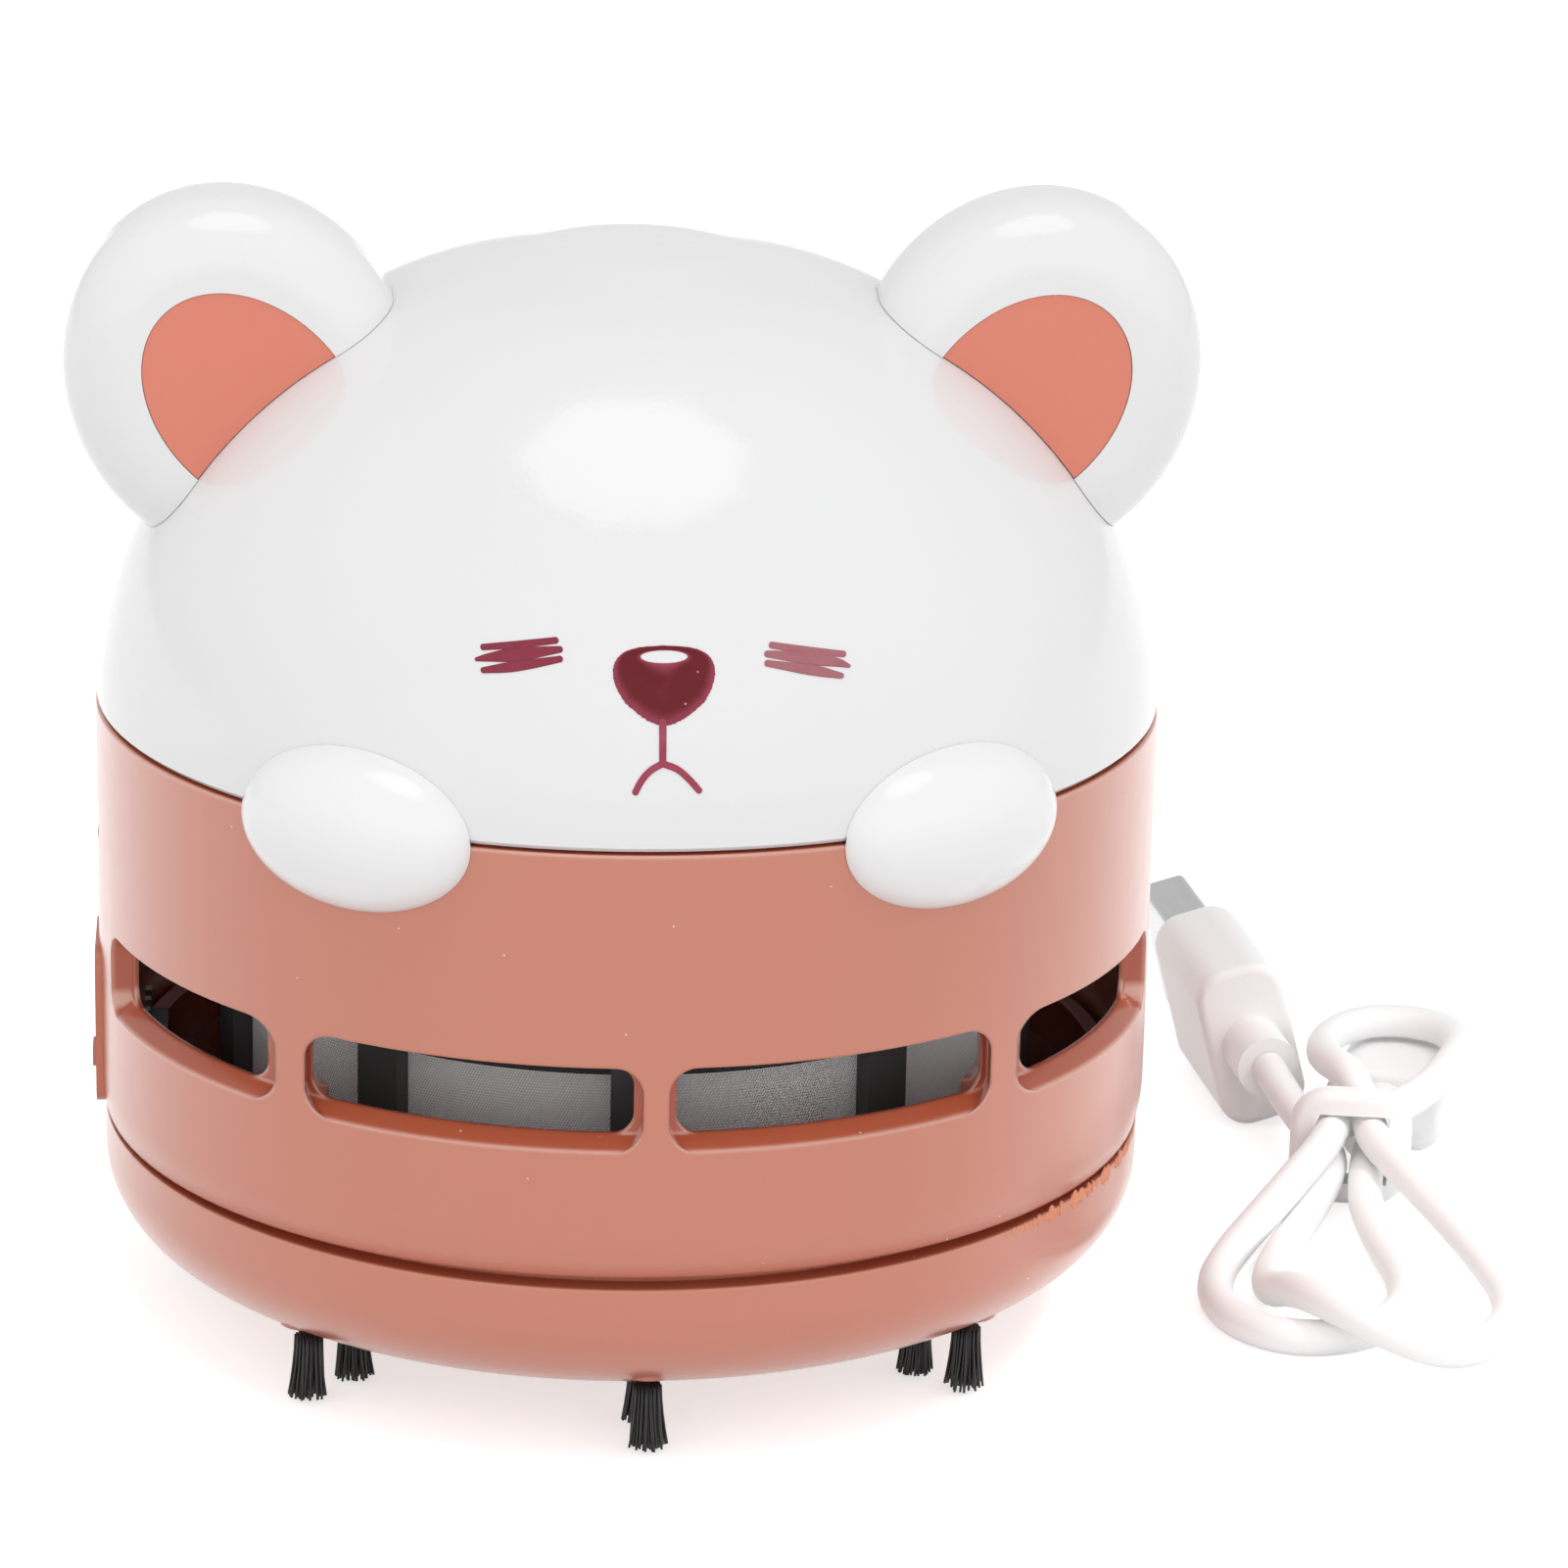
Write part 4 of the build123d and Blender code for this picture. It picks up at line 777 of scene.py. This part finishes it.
# ---- Bear's head: dome, ears and paws ------------------------------------------------------
# Glossy white shell; each ear is a hollow disc plugged into it, with a salmon plate in its
# front. The paws are two smooth lumps that hang over the rim.
white_dust = (0.55, 0.54, 0.52)
shell_white = moulded("shell_white", (0.82, 0.82, 0.825), 0.10, white_dust, dust=0.04)
dress(shell_white, "top_cover", "ear_left", "ear_right")
paw_plastic = moulded("paw_plastic", (0.88, 0.88, 0.885), 0.14, white_dust, dust=0.04)
dress(paw_plastic, "paw_left", "paw_right")
inset_plastic = moulded("inset_plastic", (0.73, 0.222, 0.152), 0.36, (0.8, 0.5, 0.45))
dress(inset_plastic, "ear_inset_left", "ear_inset_right")

# ---- Face print ----------------------------------------------------------------------------
# Sleeping eyes, nose and mouth, pad-printed on the dome in one dark red ink: a film a few
# hundredths thick that is denser where the pad pressed more, paler over the right eye. Each
# mark is laid a little over the one before.
rim_height = 50.7 * mm
dome_height = 37.3 * mm
dome_radius = 42.9 * mm
dome_side_power = 2.26
dome_top_power = 1.85
film_rise = 0.035 * mm
film_step = 0.003 * mm
film_sink = 0.02 * mm


def on_dome(flat, lift):
    """Carries points (x, height over the rim) of the front view straight back onto the dome,
    whose radius at a height is dome_radius (1 - (height / dome_height)^1.85)^(1 / 2.26), and
    then out along the surface's normal by lift."""
    x, h = flat[..., 0], flat[..., 1]
    share = 1 - (h / dome_height) ** dome_top_power
    radius = dome_radius * share ** (1 / dome_side_power)
    slope = -radius / share / dome_side_power * dome_top_power / dome_height
    slope = slope * (h / dome_height) ** (dome_top_power - 1)
    y = -np.sqrt(radius**2 - x**2)
    normal = np.stack([x / radius, y / radius, -slope], -1)
    normal /= np.linalg.norm(normal, axis=-1, keepdims=True)
    return np.stack([x, y, h + rim_height], -1) + normal * lift


def film(flat, closed, rise):
    """Faces of a thin closed film over a grid of points (rows, columns, 2): the grid lifted off
    the dome by rise, the same grid just under its surface, and the rims between them. A closed
    grid meets itself along its first and last row."""
    rows, columns, _ = flat.shape
    points = np.concatenate([on_dome(flat, rise), on_dome(flat, -film_sink)])
    points = points.reshape(-1, 3)
    index = np.arange(2 * rows * columns).reshape(2, rows, columns)
    if closed:
        index = np.concatenate([index, index[:, :1]], 1)
    top, low = index
    faces = [np.stack([top[:-1, :-1], top[:-1, 1:], top[1:, 1:], top[1:, :-1]], -1),
             np.stack([low[:-1, :-1], low[1:, :-1], low[1:, 1:], low[:-1, 1:]], -1)]
    rims = [(top[:, 0], low[:, 0]), (top[::-1, -1], low[::-1, -1])]
    if not closed:
        rims += [(top[0, ::-1], low[0, ::-1]), (top[-1], low[-1])]
    for side, under in rims:
        faces.append(np.stack([side[:-1], side[1:], under[1:], under[:-1]], -1))
    return points, np.concatenate([f.reshape(-1, 4) for f in faces])


def smooth_line(knots, count):
    """Points along a line through the knots, each span a cubic that keeps its neighbours'
    direction at both ends."""
    k = np.array(knots, float)
    k = np.concatenate([2 * k[:1] - k[1:2], k, 2 * k[-1:] - k[-2:-1]])
    t = np.linspace(0, len(k) - 3, count)
    i = np.minimum(t.astype(int), len(k) - 4)
    u = (t - i)[:, None]
    a, b, c, d = k[i], k[i + 1], k[i + 2], k[i + 3]
    return b + 0.5 * u * (c - a + u * (2 * a - 5 * b + 4 * c - d + u * (3 * (b - c) + d - a)))


stroke_steps = 60
stroke_rows = 7
cap_steps = 8
cap_reach = 0.97


def stroke(knots):
    """Brush stroke with round ends through knots (x, height, half width): at a share t of the
    end's half width w past the last knot, the half width is w times the root of 1 - t^2."""
    line = smooth_line(knots, stroke_steps) * mm
    run = np.gradient(line[:, :2], axis=0)
    run /= np.linalg.norm(run, axis=1, keepdims=True)
    reach = np.linspace(0.0, cap_reach, cap_steps + 1)[1:, None]
    slim = np.sqrt(1 - reach[:, 0] ** 2)
    before = line[0, :2] - reach[::-1] * run[0] * line[0, 2]
    after = line[-1, :2] + reach * run[-1] * line[-1, 2]
    spot = np.concatenate([before, line[:, :2], after])
    wide = np.concatenate([line[0, 2] * slim[::-1], line[:, 2], line[-1, 2] * slim])
    lead = np.concatenate([np.repeat(run[:1], cap_steps, 0), run,
                           np.repeat(run[-1:], cap_steps, 0)])
    across = np.stack([-lead[:, 1], lead[:, 0]], -1)
    v = np.linspace(1, -1, stroke_rows)
    return spot[:, None] + across[:, None] * (wide[:, None] * v)[..., None]


# The nose: half of its outline, then the bare oval in its upper part.
nose_middle = 0.28
nose_half = (
    (0.0, 15.26), (1.75, 15.13), (2.85, 14.84), (3.48, 14.36), (3.76, 13.80), (3.80, 13.20),
    (3.58, 12.35), (3.05, 11.45), (2.20, 10.68), (1.30, 10.08), (0.55, 9.76), (0.0, 9.66),
)
oval_centre = (0.28, 14.48)
oval_half = (1.76, 0.44)
nose_steps = 90
nose_rows = 14
nose_ragged = 0.006


def nose_grid():
    """Grid between the bare oval and the nose's outline: each outline point is joined to the
    oval's point in the same direction. The outline is a little ragged, as ink on a pad is."""
    half = smooth_line(nose_half, nose_steps)
    right = half + (nose_middle, 0.0)
    left = half[-2:0:-1] * (-1, 1) + (nose_middle, 0.0)
    outline = np.concatenate([right, left])
    arm = outline - oval_centre
    chance = np.random.default_rng(5)
    arm *= 1 + nose_ragged * chance.normal(0, 1, (len(arm), 1))
    way = np.arctan2(arm[:, 1] / oval_half[1], arm[:, 0] / oval_half[0])
    inner = np.stack([np.cos(way), np.sin(way)], -1) * oval_half
    t = np.linspace(0, 1, nose_rows)[None, :, None]
    return (oval_centre + inner[:, None] * (1 - t) + arm[:, None] * t) * mm


# The strokes of each mark as (x, height over the rim, half width), and its ink density.
eye_left = (
    ((-13.1, 14.60, 0.22), (-10.4, 15.00, 0.25), (-7.75, 15.42, 0.23)),
    ((-13.6, 13.72, 0.14), (-12.6, 13.95, 0.30), (-10.6, 14.30, 0.47), (-7.45, 14.82, 0.23)),
    ((-13.1, 13.02, 0.21), (-10.8, 13.46, 0.36), (-7.45, 14.16, 0.23)),
)
eye_right = (
    ((8.40, 15.02, 0.23), (11.2, 14.47, 0.25), (13.9, 13.98, 0.22)),
    ((8.05, 14.44, 0.23), (11.4, 13.92, 0.46), (13.4, 13.45, 0.30), (14.3, 13.12, 0.14)),
    ((8.05, 13.80, 0.23), (11.5, 13.08, 0.36), (13.7, 12.50, 0.21)),
)
mouth = (
    ((0.14, 9.90, 0.27), (0.13, 6.95, 0.26)),
    ((0.13, 6.97, 0.25), (-0.78, 6.45, 0.25), (-1.45, 5.71, 0.25), (-1.90, 4.87, 0.25)),
    ((0.13, 6.97, 0.25), (1.24, 6.52, 0.25), (2.08, 5.81, 0.25), (2.84, 4.96, 0.25)),
)
nose_density = 1.0
left_density = 0.55
right_density = 0.0
mouth_density = 0.22
edge_sharpness = 5.0

marks = [(nose_grid(), nose_density, True)]
for strokes, density in ((eye_left, left_density), (eye_right, right_density),
                         (mouth, mouth_density)):
    marks += [(stroke(knots), density, False) for knots in strokes]
film_points = []
film_faces = []
film_density = []
start = 0
for number, (flat, density, closed) in enumerate(marks):
    points, faces = film(flat, closed, film_rise + number * film_step)
    if closed:
        step = np.linspace(0, 1, flat.shape[1])
        edge = np.clip(np.minimum(step, 1 - step) * edge_sharpness, 0, 1)
        full = np.tile(mouth_density + (density - mouth_density) * edge, 2 * flat.shape[0])
    else:
        full = np.full(len(points), density)
    film_points.append(points)
    film_faces.append(faces + start)
    film_density.append(full)
    start += len(points)
print_mesh = bpy.data.meshes.new("face_print")
print_mesh.from_pydata(np.concatenate(film_points), [], np.concatenate(film_faces).tolist())
ink_layer = print_mesh.attributes.new("ink", "FLOAT", "POINT")
ink_layer.data.foreach_set("value", np.concatenate(film_density))
print_mesh.shade_smooth()
face_print = added("face_print", print_mesh)

ink_pale = (0.400, 0.150, 0.170)
ink_mouth = (0.350, 0.052, 0.088)
ink_eye = (0.262, 0.034, 0.060)
ink_full = (0.138, 0.008, 0.014)
ink_bare = (0.62, 0.36, 0.38)
ink_uneven = 0.24
ink_roughness = 0.2
ink_dulled = 0.2
ink_shine = 0.2
blotch_cells = 900.0
bare_cells = 1100.0
bare_size = 0.09
bare_share = 0.10
pad_ink, tree, out = new_material("pad_ink")
body = tree.nodes.new("ShaderNodeBsdfPrincipled")
layer = tree.nodes.new("ShaderNodeAttribute")
layer.attribute_name = "ink"
place = tree.nodes.new("ShaderNodeTexCoord")
blotch = noise(tree, place.outputs["Object"], blotch_cells, 3.0)
wear = maths(tree, "MULTIPLY_ADD", blotch, ink_uneven, -ink_uneven / 2)
amount = maths(tree, "ADD", layer.outputs["Fac"], wear)
ink_tones = tree.nodes.new("ShaderNodeValToRGB")
tones = ink_tones.color_ramp.elements
tones[0].color = (*ink_pale, 1)
tones[1].color = (*ink_full, 1)
tones.new(mouth_density).color = (*ink_mouth, 1)
tones.new(left_density).color = (*ink_eye, 1)
bare = flecks(tree, place.outputs["Object"], bare_cells, bare_size, bare_share)
colour = mixed(tree, bare, ink_tones.outputs["Color"], ink_bare)
gloss = maths(tree, "MULTIPLY_ADD", blotch, ink_dulled, ink_roughness)
tree.links.new(amount, ink_tones.inputs["Fac"])
tree.links.new(colour, body.inputs["Base Color"])
tree.links.new(gloss, body.inputs["Roughness"])
body.inputs["Specular IOR Level"].default_value = ink_shine
tree.links.new(body.outputs["BSDF"], out.inputs["Surface"])
face_print.data.materials.append(pad_ink)
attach(face_print, "housing")
